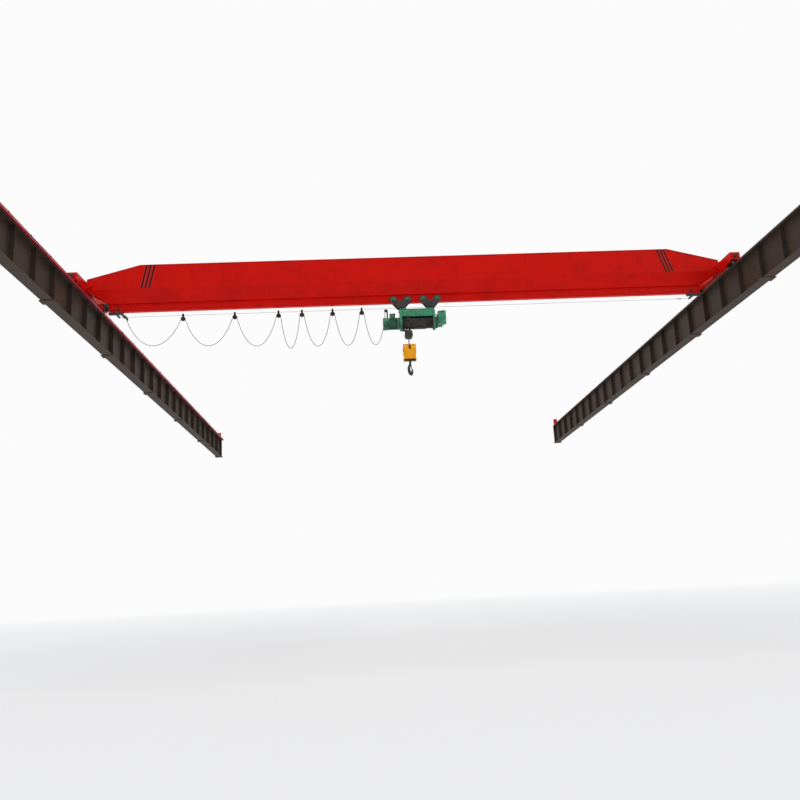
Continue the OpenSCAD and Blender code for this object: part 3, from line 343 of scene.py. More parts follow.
# the free cable between two saddles, and the gaps between the hangers from left to right
loop_spare = 2.450
loop_gaps = [1.730, 1.550, 1.320, 0.710, 0.930, 0.890, 0.780]
wire_low, wire_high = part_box("festoon_wire")
wire_y = (wire_low.y + wire_high.y) / 2
saddle_z = (wire_low.z + wire_high.z) / 2 - 0.110
saddle_r = 0.056
bend_step = math.radians(22.5)
bend_r = (saddle_r + 0.0003) / math.cos(bend_step / 2) + cable_d / 2
hang_x = [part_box("festoon_cable")[0].x - bend_r + cable_d / 2]
for gap in loop_gaps:
    hang_x.append(hang_x[-1] + gap)


def loop_line(i, fine=48):
    start = Vector((hang_x[i], wire_y, saddle_z))
    end = Vector((hang_x[i + 1], wire_y, saddle_z))
    w = loop_gaps[i] - 2 * bend_r
    d = math.sqrt(3 / 16 * (loop_spare**2 - w**2))
    over = []
    for k in range(12):
        a = math.radians(90 - 7.5 * k)
        over.append(bend_r * Vector((math.cos(a), 0, math.sin(a))))
    sag = []
    for s in range(fine + 1):
        u = s / fine
        reach = bend_r + w * (0.6 * u + 0.2 * (1 - math.cos(math.pi * u)))
        sag.append(start + Vector((reach, 0, -0.014 - d * math.sin(math.pi * u))))
    line = [] if i == 0 else [start + p for p in over]
    line += [start + Vector((bend_r, 0, 0))] + sag + [end - Vector((bend_r, 0, 0))]
    if i < len(loop_gaps) - 1:
        line += [end + Vector((-p.x, 0, p.z)) for p in reversed(over)]
    return line


carriers = ["bridge"] + [f"carrier_{n}" for n in range(1, 7)] + ["cable_end"]
loops = []
for i in range(len(loop_gaps)):
    line = loop_line(i)
    length = sum((b - a).length for a, b in zip(line, line[1:]))
    loop = piece(f"cable_loop_{i + 1}", tube(line, cable_d / 2, 14), None, None, 60)
    carriers[i]
    carriers[i + 1]
    hang_x[i] + bend_r + cable_d / 2
    hang_x[i + 1] - bend_r - cable_d / 2
    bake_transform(loop)
    tuple(line[0])
    [tuple(p) for p in line]
    loops.append(loop)
    print("loop", i + 1, "length", round(length, 3))
for loop in loops:
    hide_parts("festoon_cable")

# %% [markdown]
# The crane stands in even studio light: a pale world all round, a broad lamp from above, a faint
# one from the front right, and a pale studio floor nine metres below that sends light up to the
# undersides. The floor fades to white with distance for the eye only, so no edge shows.

# %% Rays that see the background
scene = bpy.context.scene
scene.view_settings.view_transform = "Standard"


def seen_rays(tree):
    # one for rays from the eye, straight or by way of metal or glass
    kinds = tree.nodes.new("ShaderNodeLightPath")
    found = kinds.outputs["Is Camera Ray"]
    for kind in ("Is Glossy Ray", "Is Transmission Ray"):
        either = tree.nodes.new("ShaderNodeMath")
        either.operation = "MAXIMUM"
        tree.links.new(found, either.inputs[0])
        tree.links.new(kinds.outputs[kind], either.inputs[1])
        found = either.outputs[0]
    return found


# %% World
world = bpy.data.worlds.new("pale_world")
scene.world = world
world.use_nodes = True
sky = world.node_tree.nodes
sky.clear()
lit = sky.new("ShaderNodeBackground")
lit.inputs["Color"].default_value = (0.93, 0.96, 1.0, 1)
lit.inputs["Strength"].default_value = 0.50
seen = sky.new("ShaderNodeBackground")
seen.inputs["Color"].default_value = (1, 1, 1, 1)
seen.inputs["Strength"].default_value = 0.97
mix = sky.new("ShaderNodeMixShader")
end = sky.new("ShaderNodeOutputWorld")
link = world.node_tree.links.new
link(seen_rays(world.node_tree), mix.inputs["Fac"])
link(lit.outputs[0], mix.inputs[1])
link(seen.outputs[0], mix.inputs[2])
link(mix.outputs[0], end.inputs["Surface"])
print("world seen at", seen.inputs["Strength"].default_value)


# %% Lamps
def daylight(name, towards, power, spread, colour):
    data = bpy.data.lights.new(name, "SUN")
    data.energy = power
    data.angle = math.radians(spread)
    data.color = colour
    made = bpy.data.objects.new(name, data)
    made.rotation_euler = Vector(towards).to_track_quat("-Z", "Y").to_euler()
    scene.collection.objects.link(made)


daylight("soft_top", (0.05, 0.1, -1), 1.6, 70, (1.0, 0.99, 0.98))
daylight("soft_key", (-0.75, 0.75, -0.42), 0.2, 50, (1.0, 0.97, 0.92))
print("lamps", 2)

# %% Floor
floor_z = -9.45
reach = 220
floor_mesh = bpy.data.meshes.new("studio_floor")
floor_mesh.from_pydata(
    [(mid_x - reach, -reach, floor_z), (mid_x + reach, -reach, floor_z),
     (mid_x + reach, reach, floor_z), (mid_x - reach, reach, floor_z)], [], [[0, 1, 2, 3]])
floor = bpy.data.objects.new("studio_floor", floor_mesh)
scene.collection.objects.link(floor)
print("floor at", floor_z)

# %% Floor finish
floor_finish = bpy.data.materials.new("studio_floor")
floor_finish.use_nodes = True
tree = floor_finish.node_tree
tree.nodes.clear()
link = tree.links.new
matt = tree.nodes.new("ShaderNodeBsdfDiffuse")
matt.inputs["Color"].default_value = (0.84, 0.84, 0.84, 1)
white = tree.nodes.new("ShaderNodeEmission")
white.inputs["Color"].default_value = (1, 1, 1, 1)
white.inputs["Strength"].default_value = 0.97
place = tree.nodes.new("ShaderNodeTexCoord")
far = tree.nodes.new("ShaderNodeVectorMath")
far.operation = "DISTANCE"
far.inputs[1].default_value = (eye.x, eye.y, floor_z)
fade = tree.nodes.new("ShaderNodeMapRange")
fade.interpolation_type = "SMOOTHSTEP"
fade.inputs["From Min"].default_value = 30
fade.inputs["From Max"].default_value = 150
both = tree.nodes.new("ShaderNodeMath")
both.operation = "MULTIPLY"
mix = tree.nodes.new("ShaderNodeMixShader")
end = tree.nodes.new("ShaderNodeOutputMaterial")
link(place.outputs["Object"], far.inputs[0])
link(far.outputs["Value"], fade.inputs["Value"])
link(fade.outputs["Result"], both.inputs[0])
link(seen_rays(tree), both.inputs[1])
link(both.outputs[0], mix.inputs["Fac"])
link(matt.outputs[0], mix.inputs[1])
link(white.outputs[0], mix.inputs[2])
link(mix.outputs[0], end.inputs["Surface"])
floor_mesh.materials.append(floor_finish)
floor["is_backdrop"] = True
print("floor fades to white from", fade.inputs["From Min"].default_value, "m")

# %% [markdown]
# Four effects return in many finishes, so each is a node group: grime that gathers in blotches,
# wear along edges where paint is knocked off, dust that settles on faces that look up, and the
# ripple that plate and brushed paint show in raking light. They put out masks and normals only.

# %% Start a shader node group
def group(name, inputs, outputs):
    made = bpy.data.node_groups.new(name, "ShaderNodeTree")
    for label, value in inputs:
        socket = made.interface.new_socket(label, in_out="INPUT", socket_type="NodeSocketFloat")
        socket.default_value = value
    for label, kind in outputs:
        made.interface.new_socket(label, in_out="OUTPUT", socket_type=kind)
    into = made.nodes.new("NodeGroupInput")
    out = made.nodes.new("NodeGroupOutput")
    return made, into, out


def maths(tree, operation, a, b=None, clamp=False):
    node = tree.nodes.new("ShaderNodeMath")
    node.operation = operation
    node.use_clamp = clamp
    for socket, value in zip(node.inputs, (a, b)):
        if value is None:
            continue
        if isinstance(value, (int, float)):
            socket.default_value = value
        else:
            tree.links.new(value, socket)
    return node.outputs[0]


def above(tree, value, level, gain):
    # nought up to a level, then rising to one
    return maths(tree, "MULTIPLY", maths(tree, "SUBTRACT", value, level, True), gain, True)


def noise(tree, scale, detail=4.0, rough=0.55, stretch=(1, 1, 1)):
    place = tree.nodes.new("ShaderNodeTexCoord")
    spread = tree.nodes.new("ShaderNodeMapping")
    spread.inputs["Scale"].default_value = stretch
    tree.links.new(place.outputs["Object"], spread.inputs["Vector"])
    made = tree.nodes.new("ShaderNodeTexNoise")
    made.inputs["Detail"].default_value = detail
    made.inputs["Roughness"].default_value = rough
    if isinstance(scale, (int, float)):
        made.inputs["Scale"].default_value = scale
    else:
        tree.links.new(scale, made.inputs["Scale"])
    tree.links.new(spread.outputs[0], made.inputs["Vector"])
    return made.outputs["Fac"]


# %% Group: blotchy grime with streaks that run down
grime, into, out = group(
    "grime", [("Scale", 2.0), ("Amount", 0.4), ("Streaks", 0.3)], [("Mask", "NodeSocketFloat")])
blotch = above(grime, noise(grime, into.outputs["Scale"], 6, 0.6), 0.48, 6.0)
streak = noise(grime, maths(grime, "MULTIPLY", into.outputs["Scale"], 9.0), 3, 0.5, (1, 1, 0.05))
streak = above(grime, streak, 0.55, 5.0)
soiled = maths(grime, "ADD", maths(grime, "MULTIPLY", blotch, into.outputs["Amount"]),
               maths(grime, "MULTIPLY", streak, into.outputs["Streaks"]), True)
grime.links.new(soiled, out.inputs["Mask"])
print("group grime")

# %% Group: edge wear
edge_wear, into, out = group(
    "edge_wear", [("Reach", 0.006), ("Amount", 1.0), ("Scale", 30.0)], [("Mask", "NodeSocketFloat")])
rounded = edge_wear.nodes.new("ShaderNodeBevel")
rounded.samples = 4
edge_wear.links.new(into.outputs["Reach"], rounded.inputs["Radius"])
faced = edge_wear.nodes.new("ShaderNodeNewGeometry")
compare = edge_wear.nodes.new("ShaderNodeVectorMath")
compare.operation = "DOT_PRODUCT"
edge_wear.links.new(rounded.outputs[0], compare.inputs[0])
edge_wear.links.new(faced.outputs["Normal"], compare.inputs[1])
edge = above(edge_wear, 1.0, compare.outputs["Value"], 7.0)
chips = above(edge_wear, noise(edge_wear, into.outputs["Scale"], 6, 0.7), 0.45, 9.0)
chipped = maths(edge_wear, "MULTIPLY", edge, chips)
worn = maths(edge_wear, "MULTIPLY", chipped, into.outputs["Amount"], True)
edge_wear.links.new(worn, out.inputs["Mask"])
print("group edge_wear")

# %% Group: settled dust
dust, into, out = group(
    "settled_dust", [("Amount", 0.5), ("Scale", 4.0)], [("Mask", "NodeSocketFloat")])
faced = dust.nodes.new("ShaderNodeNewGeometry")
parts = dust.nodes.new("ShaderNodeSeparateXYZ")
dust.links.new(faced.outputs["Normal"], parts.inputs[0])
upward = above(dust, parts.outputs["Z"], 0.3, 1.5)
uneven = above(dust, noise(dust, into.outputs["Scale"], 5), 0.3, 2.2)
patchy = maths(dust, "MULTIPLY", upward, uneven)
settled = maths(dust, "MULTIPLY", patchy, into.outputs["Amount"], True)
dust.links.new(settled, out.inputs["Mask"])
print("group settled_dust")

# %% Group: ripple of plate and paint
ripple, into, out = group(
    "ripple", [("Plate", 0.3), ("Grain", 0.2), ("Plate Scale", 1.2), ("Grain Scale", 160.0)],
    [("Normal", "NodeSocketVector")])
broad = noise(ripple, into.outputs["Plate Scale"], 2, 0.4)
broad = maths(ripple, "MULTIPLY", broad, into.outputs["Plate"])
fine = maths(ripple, "MULTIPLY", noise(ripple, into.outputs["Grain Scale"], 3, 0.6),
             maths(ripple, "MULTIPLY", into.outputs["Grain"], 0.02))
height = maths(ripple, "ADD", broad, fine)
raised = ripple.nodes.new("ShaderNodeBump")
raised.inputs["Strength"].default_value = 0.5
raised.inputs["Distance"].default_value = 0.02
ripple.links.new(height, raised.inputs["Height"])
ripple.links.new(raised.outputs[0], out.inputs["Normal"])
print("group ripple")

# %% [markdown]
# A finish is one Principled shader with its own constant values on the sockets, and a short chain
# of mixes for what changes over the surface: clean paint, then grime, then bare metal or primer on
# the worn edges, then dust. The helper takes those layers as colours and group settings.

# %% Build a layered finish
def tone(red, green, blue):
    # screen colour to the linear values that shaders take
    def one(c):
        c /= 255
        return c / 12.92 if c <= 0.04045 else ((c + 0.055) / 1.055) ** 2.4
    return (one(red), one(green), one(blue), 1)


def place_group(tree, which, **settings):
    node = tree.nodes.new("ShaderNodeGroup")
    node.node_tree = which
    for label, value in settings.items():
        node.inputs[label.replace("_", " ")].default_value = value
    return node


def layer(tree, under, over, mask):
    mix = tree.nodes.new("ShaderNodeMix")
    mix.data_type = "RGBA"
    for socket, value in ((mix.inputs[6], under), (mix.inputs[7], over)):
        if isinstance(value, tuple):
            socket.default_value = value
        else:
            tree.links.new(value, socket)
    tree.links.new(mask, mix.inputs[0])
    return mix.outputs[2]


def blend_value(tree, low, high, mask):
    span_node = tree.nodes.new("ShaderNodeMapRange")
    span_node.inputs["To Min"].default_value = low
    span_node.inputs["To Max"].default_value = high
    tree.links.new(mask, span_node.inputs["Value"])
    return span_node.outputs["Result"]


def finish(name, base, variant, soil, bare, rough, metallic=0.0, coat=0.0, wear=1.0, wear_reach=0.006,
           soil_amount=0.5, streaks=0.35, soil_scale=1.6, dusty=0.35, plate_wave=0.25, grain=0.25,
           grain_scale=160.0, bare_metal=0.6, shine=0.5):
    # the four colours are screen colours, out of 255
    base, variant, soil, bare = (tone(*colour) for colour in (base, variant, soil, bare))
    made = bpy.data.materials.new(name)
    made.use_nodes = True
    tree = made.node_tree
    shader = tree.nodes["Principled BSDF"]
    shader.inputs["Specular IOR Level"].default_value = shine
    shader.inputs["Coat Weight"].default_value = coat
    shader.inputs["Coat Roughness"].default_value = 0.12
    patches = noise(tree, 0.9, 3)
    colour = layer(tree, base, variant, blend_value(tree, 0.0, 0.9, patches))
    dirt = place_group(tree, grime, Scale=soil_scale, Amount=soil_amount, Streaks=streaks)
    colour = layer(tree, colour, soil, dirt.outputs["Mask"])
    worn = place_group(tree, edge_wear, Reach=wear_reach, Amount=wear)
    colour = layer(tree, colour, bare, worn.outputs["Mask"])
    powder = place_group(tree, dust, Amount=dusty)
    colour = layer(tree, colour, tone(178, 168, 154), powder.outputs["Mask"])
    tree.links.new(colour, shader.inputs["Base Color"])
    dull = maths(tree, "ADD", blend_value(tree, rough, min(1.0, rough + 0.3), dirt.outputs["Mask"]),
                 maths(tree, "MULTIPLY", powder.outputs["Mask"], 0.4), True)
    tree.links.new(dull, shader.inputs["Roughness"])
    metal = blend_value(tree, metallic, max(metallic, bare_metal), worn.outputs["Mask"])
    tree.links.new(metal, shader.inputs["Metallic"])
    wave = place_group(tree, ripple, Plate=plate_wave, Grain=grain, Grain_Scale=grain_scale)
    tree.links.new(wave.outputs["Normal"], shader.inputs["Normal"])
    finishes[name] = made
    print("finish", name)
    return made


# %% [markdown]
# The girder and carriages wear a red-orange enamel that goes from deep red on the shaded side to
# orange on the lit one. The runways have matt dark primer with rusty scuffs. The hoist is in green
# machine enamel, oily and dusty, the motor dirtiest of all where its fan draws dust over the fins;
# the hook block is orange-yellow.

# %% Painted steel
girder_enamel = finish(
    "girder_enamel", (226, 14, 0), (206, 8, 0), (128, 12, 5), (150, 50, 30), 0.4,
    coat=0.03, wear=0.4, soil_amount=0.2, streaks=0.22, dusty=0.15, plate_wave=0.35, grain=0.15, shine=0.1)
runway_primer = finish(
    "runway_primer", (62, 52, 45), (50, 42, 37), (90, 60, 42), (112, 76, 54), 0.62,
    wear=0.9, soil_amount=0.45, streaks=0.45, dusty=0.3, plate_wave=0.2,
    grain=0.5, bare_metal=0.1, shine=0.25)
hoist_enamel = finish(
    "hoist_enamel", (42, 150, 106), (24, 124, 88), (16, 52, 40), (120, 128, 112), 0.36,
    coat=0.12, wear=0.9, wear_reach=0.004, soil_amount=0.7, streaks=0.5, soil_scale=5, dusty=0.4,
    plate_wave=0.1, grain=0.35, grain_scale=240)
finish(
    "motor_enamel", (42, 126, 90), (34, 102, 76), (30, 48, 38), (116, 122, 108), 0.42,
    coat=0.06, wear=0.9, wear_reach=0.004, soil_amount=0.85, streaks=0.4, soil_scale=4, dusty=0.5,
    plate_wave=0.1, grain=0.5, grain_scale=240)
finish(
    "block_enamel", (255, 176, 8), (254, 164, 4), (168, 96, 16), (96, 84, 70), 0.34,
    coat=0.05, wear=0.9, wear_reach=0.004, soil_amount=0.2, streaks=0.3, soil_scale=7, dusty=0.12,
    plate_wave=0.08, grain=0.3, grain_scale=240, shine=0.2)
stripe_paint = finish(
    "stripe_paint", (62, 6, 8), (50, 6, 8), (84, 16, 14), (120, 40, 26), 0.45,
    wear=0.3, soil_amount=0.3, dusty=0.1, plate_wave=0.3, grain=0.2, shine=0.12)
stripe_edge = finish(
    "stripe_edge", (206, 84, 78), (196, 70, 66), (150, 40, 30), (190, 50, 36), 0.5,
    wear=0.2, soil_amount=0.3, dusty=0.1, plate_wave=0.3, grain=0.2, shine=0.12)

# %% [markdown]
# Bare and oiled steel comes next. The rails are rust brown with a bright running strip, which is
# told by height and by faces that look up. Forged and cast parts are nearly black with brown oil.
# Wire rope is grey under dark grease, and small hardware is zinc plated.

# %% Steel, rubber and plastic
dark_steel = finish(
    "dark_steel", (46, 42, 42), (60, 52, 48), (34, 26, 22), (128, 120, 112), 0.46,
    metallic=0.35, wear=0.8, wear_reach=0.003, soil_amount=0.6, soil_scale=6, dusty=0.35,
    plate_wave=0.06, grain=0.8, grain_scale=260, bare_metal=0.9)
drum_steel = finish(
    "drum_steel", (58, 44, 38), (44, 34, 30), (28, 20, 16), (110, 96, 84), 0.42,
    metallic=0.5, wear=0.6, wear_reach=0.002, soil_amount=0.8, soil_scale=8, dusty=0.1, plate_wave=0.05,
    grain=0.5, bare_metal=0.9)
forging = finish(
    "hook_forging", (36, 34, 34), (48, 44, 42), (58, 42, 32), (150, 142, 132), 0.5,
    metallic=0.3, wear=0.7, wear_reach=0.006, soil_amount=0.5, soil_scale=9, dusty=0.15, plate_wave=0.15,
    grain=1.0, grain_scale=120, bare_metal=0.9)
rope_wire = finish(
    "rope_wire", (98, 90, 82), (76, 66, 58), (40, 30, 24), (150, 142, 130), 0.4,
    metallic=0.75, wear=0.2, wear_reach=0.001, soil_amount=0.8, soil_scale=14, dusty=0.0, plate_wave=0.02,
    grain=0.6, grain_scale=900)
zinc = finish(
    "zinc_plate", (172, 172, 166), (150, 148, 140), (104, 92, 78), (190, 186, 178), 0.36,
    metallic=0.85, wear=0.2, wear_reach=0.001, soil_amount=0.5, soil_scale=12, dusty=0.3, plate_wave=0.02,
    grain=0.5, grain_scale=500)
bolt_steel = finish(
    "bolt_steel", (88, 82, 78), (70, 60, 54), (96, 60, 40), (160, 152, 142), 0.45,
    metallic=0.7, wear=0.4, wear_reach=0.002, soil_amount=0.7, soil_scale=12, dusty=0.3, plate_wave=0.02,
    grain=0.6, grain_scale=400)
rolled_bright = finish(
    "rolled_bright", (116, 112, 106), (92, 86, 80), (40, 34, 30), (150, 146, 140), 0.34,
    metallic=0.85, wear=0.3, wear_reach=0.002, soil_amount=0.5, soil_scale=18, dusty=0.1, plate_wave=0.02,
    grain=0.5, grain_scale=500)
finish(
    "buffer_rubber", (34, 33, 34), (42, 41, 41), (60, 54, 48), (52, 50, 50), 0.78,
    wear=0.2, soil_amount=0.5, soil_scale=8, dusty=0.5, plate_wave=0.02, grain=0.6, bare_metal=0.0)
cable_rubber = finish(
    "cable_rubber", (60, 58, 56), (50, 48, 47), (92, 84, 74), (70, 66, 62), 0.6,
    wear=0.0, soil_amount=0.4, soil_scale=5, dusty=0.45, plate_wave=0.02, grain=0.4, bare_metal=0.0)
finish(
    "conductor_sleeve", (186, 28, 52), (164, 22, 44), (92, 30, 34), (200, 80, 84), 0.45,
    wear=0.3, soil_amount=0.4, dusty=0.4, plate_wave=0.05, grain=0.1, bare_metal=0.0)
# painted shade: this near-black finish stands for the shaded inside of the motor's fan cowl seen through
# the grille
cowl_painted_shade = finish(
    "cowl_painted_shade", (20, 26, 24), (26, 30, 28), (12, 14, 13), (60, 66, 62), 0.7,
    wear=0.0, soil_amount=0.3, soil_scale=9, dusty=0.2, bare_metal=0.0)
for loop in loops:
    loop.data.materials.append(cable_rubber)

# %% Rail steel with a bright running strip
rail_steel = bpy.data.materials.new("rail_steel")
rail_steel.use_nodes = True
tree = rail_steel.node_tree
shader = tree.nodes["Principled BSDF"]
shader.inputs["Metallic"].default_value = 0.65
place = tree.nodes.new("ShaderNodeTexCoord")
parts = tree.nodes.new("ShaderNodeSeparateXYZ")
tree.links.new(place.outputs["Object"], parts.inputs[0])
faced = tree.nodes.new("ShaderNodeNewGeometry")
looks = tree.nodes.new("ShaderNodeSeparateXYZ")
tree.links.new(faced.outputs["Normal"], looks.inputs[0])
running = maths(tree, "MULTIPLY", maths(tree, "GREATER_THAN", parts.outputs["Z"], rail_top - 0.002),
                maths(tree, "GREATER_THAN", looks.outputs["Z"], 0.9))
rusty = layer(tree, tone(104, 78, 62), tone(78, 58, 48), noise(tree, 14.0, 6, 0.7))
rubbed = layer(tree, tone(150, 146, 140), tone(122, 114, 106), noise(tree, 22.0, 4, 0.6, (1, 0.08, 1)))
tree.links.new(layer(tree, rusty, rubbed, running), shader.inputs["Base Color"])
tree.links.new(blend_value(tree, 0.62, 0.28, running), shader.inputs["Roughness"])
wave = place_group(tree, ripple, Plate=0.05, Grain=0.9, Grain_Scale=200.0)
tree.links.new(wave.outputs["Normal"], shader.inputs["Normal"])
finishes["rail_steel"] = rail_steel
print("finish rail_steel")

# %% [markdown]
# Every solid takes its finish by name and keeps its exact mesh. The worn edges in the finishes
# make the plates' edges catch the light.

# %% Give each solid its finish
by_solid = {
    "girder_enamel": ["carriage_left", "carriage_right", "girder_top_plate", "girder_web_front",
                      "girder_web_back", "girder_slant_front", "girder_slant_back", "girder_beam",
                      "girder_ends", "end_stops"],
    "runway_primer": ["runway_beam_left", "runway_beam_right", "web_stiffeners", "seat_plates"],
    "rail_steel": ["crane_rails"],
    "dark_steel": ["rail_clips", "conductor_brackets", "trolley_stops", "current_collector", "towing_arm",
                   "travel_drives", "rope_guide", "rope_anchor", "limit_switch", "trolley_frames",
                   "hook_crosshead", "block_sheave", "cable_clamp", "wheel_left_front",
                   "wheel_left_back", "wheel_right_front", "wheel_right_back"]
                  + [f"cable_carrier_{n}" for n in range(1, 7)],
    "motor_enamel": ["hoist_motor"],
    "hoist_enamel": ["hoist_end_frames", "hoist_casing", "gearbox",
                     "control_box"] + [f"trolley_wheels_{n}" for n in range(1, 5)],
    "block_enamel": ["block_housing"],
    "conductor_sleeve": ["conductor_bar"],
    "buffer_rubber": ["carriage_buffers"],
    "zinc_plate": ["festoon_wire", "hook_latch"],
    "hook_forging": ["hook"],
    "drum_steel": ["rope_drum"],
    "rope_wire": ["rope_falls"],
}
for label, names in by_solid.items():
    for name in names:
        nodes[name].data.materials.clear()
        nodes[name].data.materials.append(finishes[label])
print("finishes on", sum(len(v) for v in by_solid.values()), "solids")

# %% [markdown]
# Near each end of the girder three dark maroon bars lean outwards across the web, painted over a
# thin pale edge. They are plain warning bars. Here each is a thin painted plate on the web's face,
# cut as a leaning four-sided outline, since a mask in the shader would be hard to line up by eye.

# %% Warning bars on both webs
bar_tops = {-1: (7.60, 7.715, 7.83), 1: (7.70, 7.805, 7.905)}
bar_lean = {-1: 0.150, 1: 0.215}
bar_w = 0.055
edge_w = 0.008
bars, edges = Gather(), Gather()
for side in (-1, 1):
    for top in bar_tops[side]:
        for face, way in ((-1, (0, -1, 0)), (1, (0, 1, 0))):
            y = crane_y + face * web_half

            def corner(x, z, lift):
                return (mid_x + side * x, y + face * lift, z)

            z0, z1 = crease_z + 0.012, girder_top - 0.004

            def bar(a, b, lift, thick):
                loop = [corner(a, z1, lift), corner(b, z1, lift),
                        corner(b + bar_lean[side], z0, lift), corner(a + bar_lean[side], z0, lift)]
                if side * face < 0:
                    loop.reverse()
                return plate(loop, thick, way)

            bars.add(bar(top - bar_w / 2, top + bar_w / 2, 0.0002, 0.0006))
            edges.add(bar(top - bar_w / 2 - edge_w, top + bar_w / 2 + edge_w, 0.0001, 0.0003))
piece("warning_bars", bars, stripe_paint, "bridge")
piece("warning_bar_edges", edges, stripe_edge, "bridge")
print("warning bars", 2 * sum(len(tops) for tops in bar_tops.values()))

# %% [markdown]
# The plates are joined by long fillet welds, painted over. A weld bead is a low rounded strip with
# fine ripples along it. Each is swept as a thin tube with a slightly changing radius, half sunk
# in the seam that it closes.

# %% Weld beads on the girder
welds, runway_welds = Gather(), Gather()


def bead(a, b, r, step=0.02, into=welds):
    a, b = Vector(a), Vector(b)
    n = max(2, int((b - a).length / step))
    points = [a.lerp(b, k / n) for k in range(n + 1)]
    radii = [r * (1 + 0.22 * math.sin(2.4 * k)) for k in range(n + 1)]
    into.add(tube(points, radii, 6))


long_step = 0.05
level_half = 8.0
splices = (-5.2, -1.9, 2.6, 5.7)
for face in (-1, 1):
    y = crane_y + face * (web_half - 0.0005)
    bead((web_low.x + 0.02, y, crease_z), (web_high.x - 0.02, y, crease_z), 0.0045, long_step)
    foot_y = crane_y + face * (beam_high.y - beam_low.y) / 2
    flange_z = beam_high.z - 0.014
    bead((beam_low.x + 0.1, foot_y, flange_z), (beam_high.x - 0.1, foot_y, flange_z), 0.004, long_step)
    top_z = girder_top - 0.001
    bead((mid_x - level_half, y, top_z), (mid_x + level_half, y, top_z), 0.004, long_step)
    for splice in splices:
        bead((mid_x + splice, y, crease_z + 0.01), (mid_x + splice, y, girder_top - 0.01), 0.003)
piece("girder_welds", welds, girder_enamel, "bridge", 60)
print("weld faces", len(welds.faces))

# %% Weld beads on the runways
runway_low, runway_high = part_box("runway_beam_left")
web_face, flange_t = 0.0060, 0.020
foot_z, head_z = runway_low.z + flange_t, runway_high.z - flange_t
pitch = 1.25
stiffeners = round((runway_high.y - runway_low.y) / pitch)
for x in (0, span):
    for side in (-1, 1):
        face_x = x + side * web_face
        for z in (foot_z, head_z):
            start, end = (face_x, runway_low.y + 0.01, z), (face_x, runway_high.y - 0.01, z)
            bead(start, end, 0.005, 0.06, runway_welds)
        for i in range(stiffeners + 1):
            at_y = min(max(runway_low.y + i * pitch, runway_low.y + 0.020), runway_high.y - 0.020)
            for y in (at_y - 0.005, at_y + 0.005):
                start, end = (face_x, y, foot_z + 0.01), (face_x, y, head_z - 0.01)
                bead(start, end, 0.004, long_step, runway_welds)
piece("runway_welds", runway_welds, runway_primer, "runway", 60)
print("runway weld faces", len(runway_welds.faces))

# %% [markdown]
# Fasteners are many and alike: seat bolts under the runways, one bolt on each rail clip, the bolts
# that hold the end plates, bearings, frames and covers. Each is a chamfered hexagon head, with a
# washer where there is room. Those on one body and in one steel are joined into one object.

# %% Runway bolts
runway_bolts = Gather()
bay = 5.0
seat_dx, seat_dy = 0.180, 0.100
clip_dx, clip_lift = 0.081, 0.0245
seat_top = runway_low.z
rows = round((runway_high.y - runway_low.y) / bay)
for x in (0, span):
    for i in range(rows + 1):
        y = min(max(runway_low.y + i * bay, runway_low.y + 0.15), runway_high.y - 0.15)
        for dx in (-seat_dx, seat_dx):
            for dy in (-seat_dy, seat_dy):
                runway_bolts.add(bolt((x + dx, y + dy, seat_top), "z", 0.030))
    for i in range(int(runway_high.y - runway_low.y)):
        y = runway_low.y + i + 0.5
        for side in (-1, 1):
            at = (x + side * clip_dx, y, runway_high.z + clip_lift)
            runway_bolts.add(bolt(at, "z", 0.026, 1, 0.012))
piece("runway_bolts", runway_bolts, bolt_steel, "runway")
print("runway bolts", len(runway_bolts.faces) // 80)

# %% Bridge bolts: end plates, bearings and axle caps
bridge_bolts = Gather()
carriage_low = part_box("carriage_left")[0]
for side in (-1, 1):
    face_x = mid_x + side * girder_half
    for y in (-0.298, 0.298):
        for dz in (0.045, 0.120, 0.195, 0.265):
            at = (face_x, crane_y + y, carriage_low.z + dz)
            bridge_bolts.add(bolt(at, "x", 0.018, -side, washer=False))
bearing_x, cap_r = 0.164, 0.046
for end in ("front", "back"):
    wheel_low, wheel_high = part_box("wheel_left_" + end)
    axle_y, axle_z = (wheel_low.y + wheel_high.y) / 2, (wheel_low.z + wheel_high.z) / 2
    for rail_x in (0, span):
        for side in (-1, 1):
            for k in range(4):
                a = math.pi / 4 + k * math.pi / 2
                at = (rail_x + side * bearing_x, axle_y + cap_r * math.cos(a), axle_z + cap_r * math.sin(a))
                bridge_bolts.add(bolt(at, "x", 0.013, side, washer=False))
piece("bridge_bolts", bridge_bolts, bolt_steel, "bridge")

# %% [markdown]
# Wheels roll bright where they touch and stay dark and oily on their flanges, with paint only on
# the hub. Each wheel gets thin turned shells over the solid's own tread and flange faces, so the
# hub keeps the finish that its solid has.

# %% Rolling treads and flange rims
lift = 0.0003
for n in range(1, 5):
    wheel_low, wheel_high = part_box(f"trolley_wheels_{n}")
    at = ((wheel_low.x + wheel_high.x) / 2, crane_y, (wheel_low.z + wheel_high.z) / 2)
    flange_r = (wheel_high.z - wheel_low.z) / 2
    tread_r = flange_r - 0.030
    treads, rims = Gather(), Gather()
    for side in (-1, 1):
        tread = [(tread_r - 0.003, 0.0258), (tread_r + lift, 0.0270),
                 (tread_r + lift, 0.0665), (tread_r - 0.002, 0.0668)]
        treads.add(ring(tread, at, "y", 64, side))
        rim = [(flange_r - 0.006, 0.0702), (flange_r, 0.0712), (flange_r, 0.0782),
               (flange_r - 0.001, 0.0793), (tread_r - 0.006, 0.0793), (tread_r - 0.007, 0.0770)]
        rims.add(ring(rim, at, "y", 64, side))
        rims.add(bolt((at[0], at[1] + side * 0.0971, at[2]), "y", 0.058, side, 0.008, washer=False))
    axle = f"trolley_axle_{n}"
    piece(f"trolley_treads_{n}", treads, rolled_bright, axle, 40)
    piece(f"trolley_rims_{n}", rims, dark_steel, axle, 40)
tread_half = 0.0398
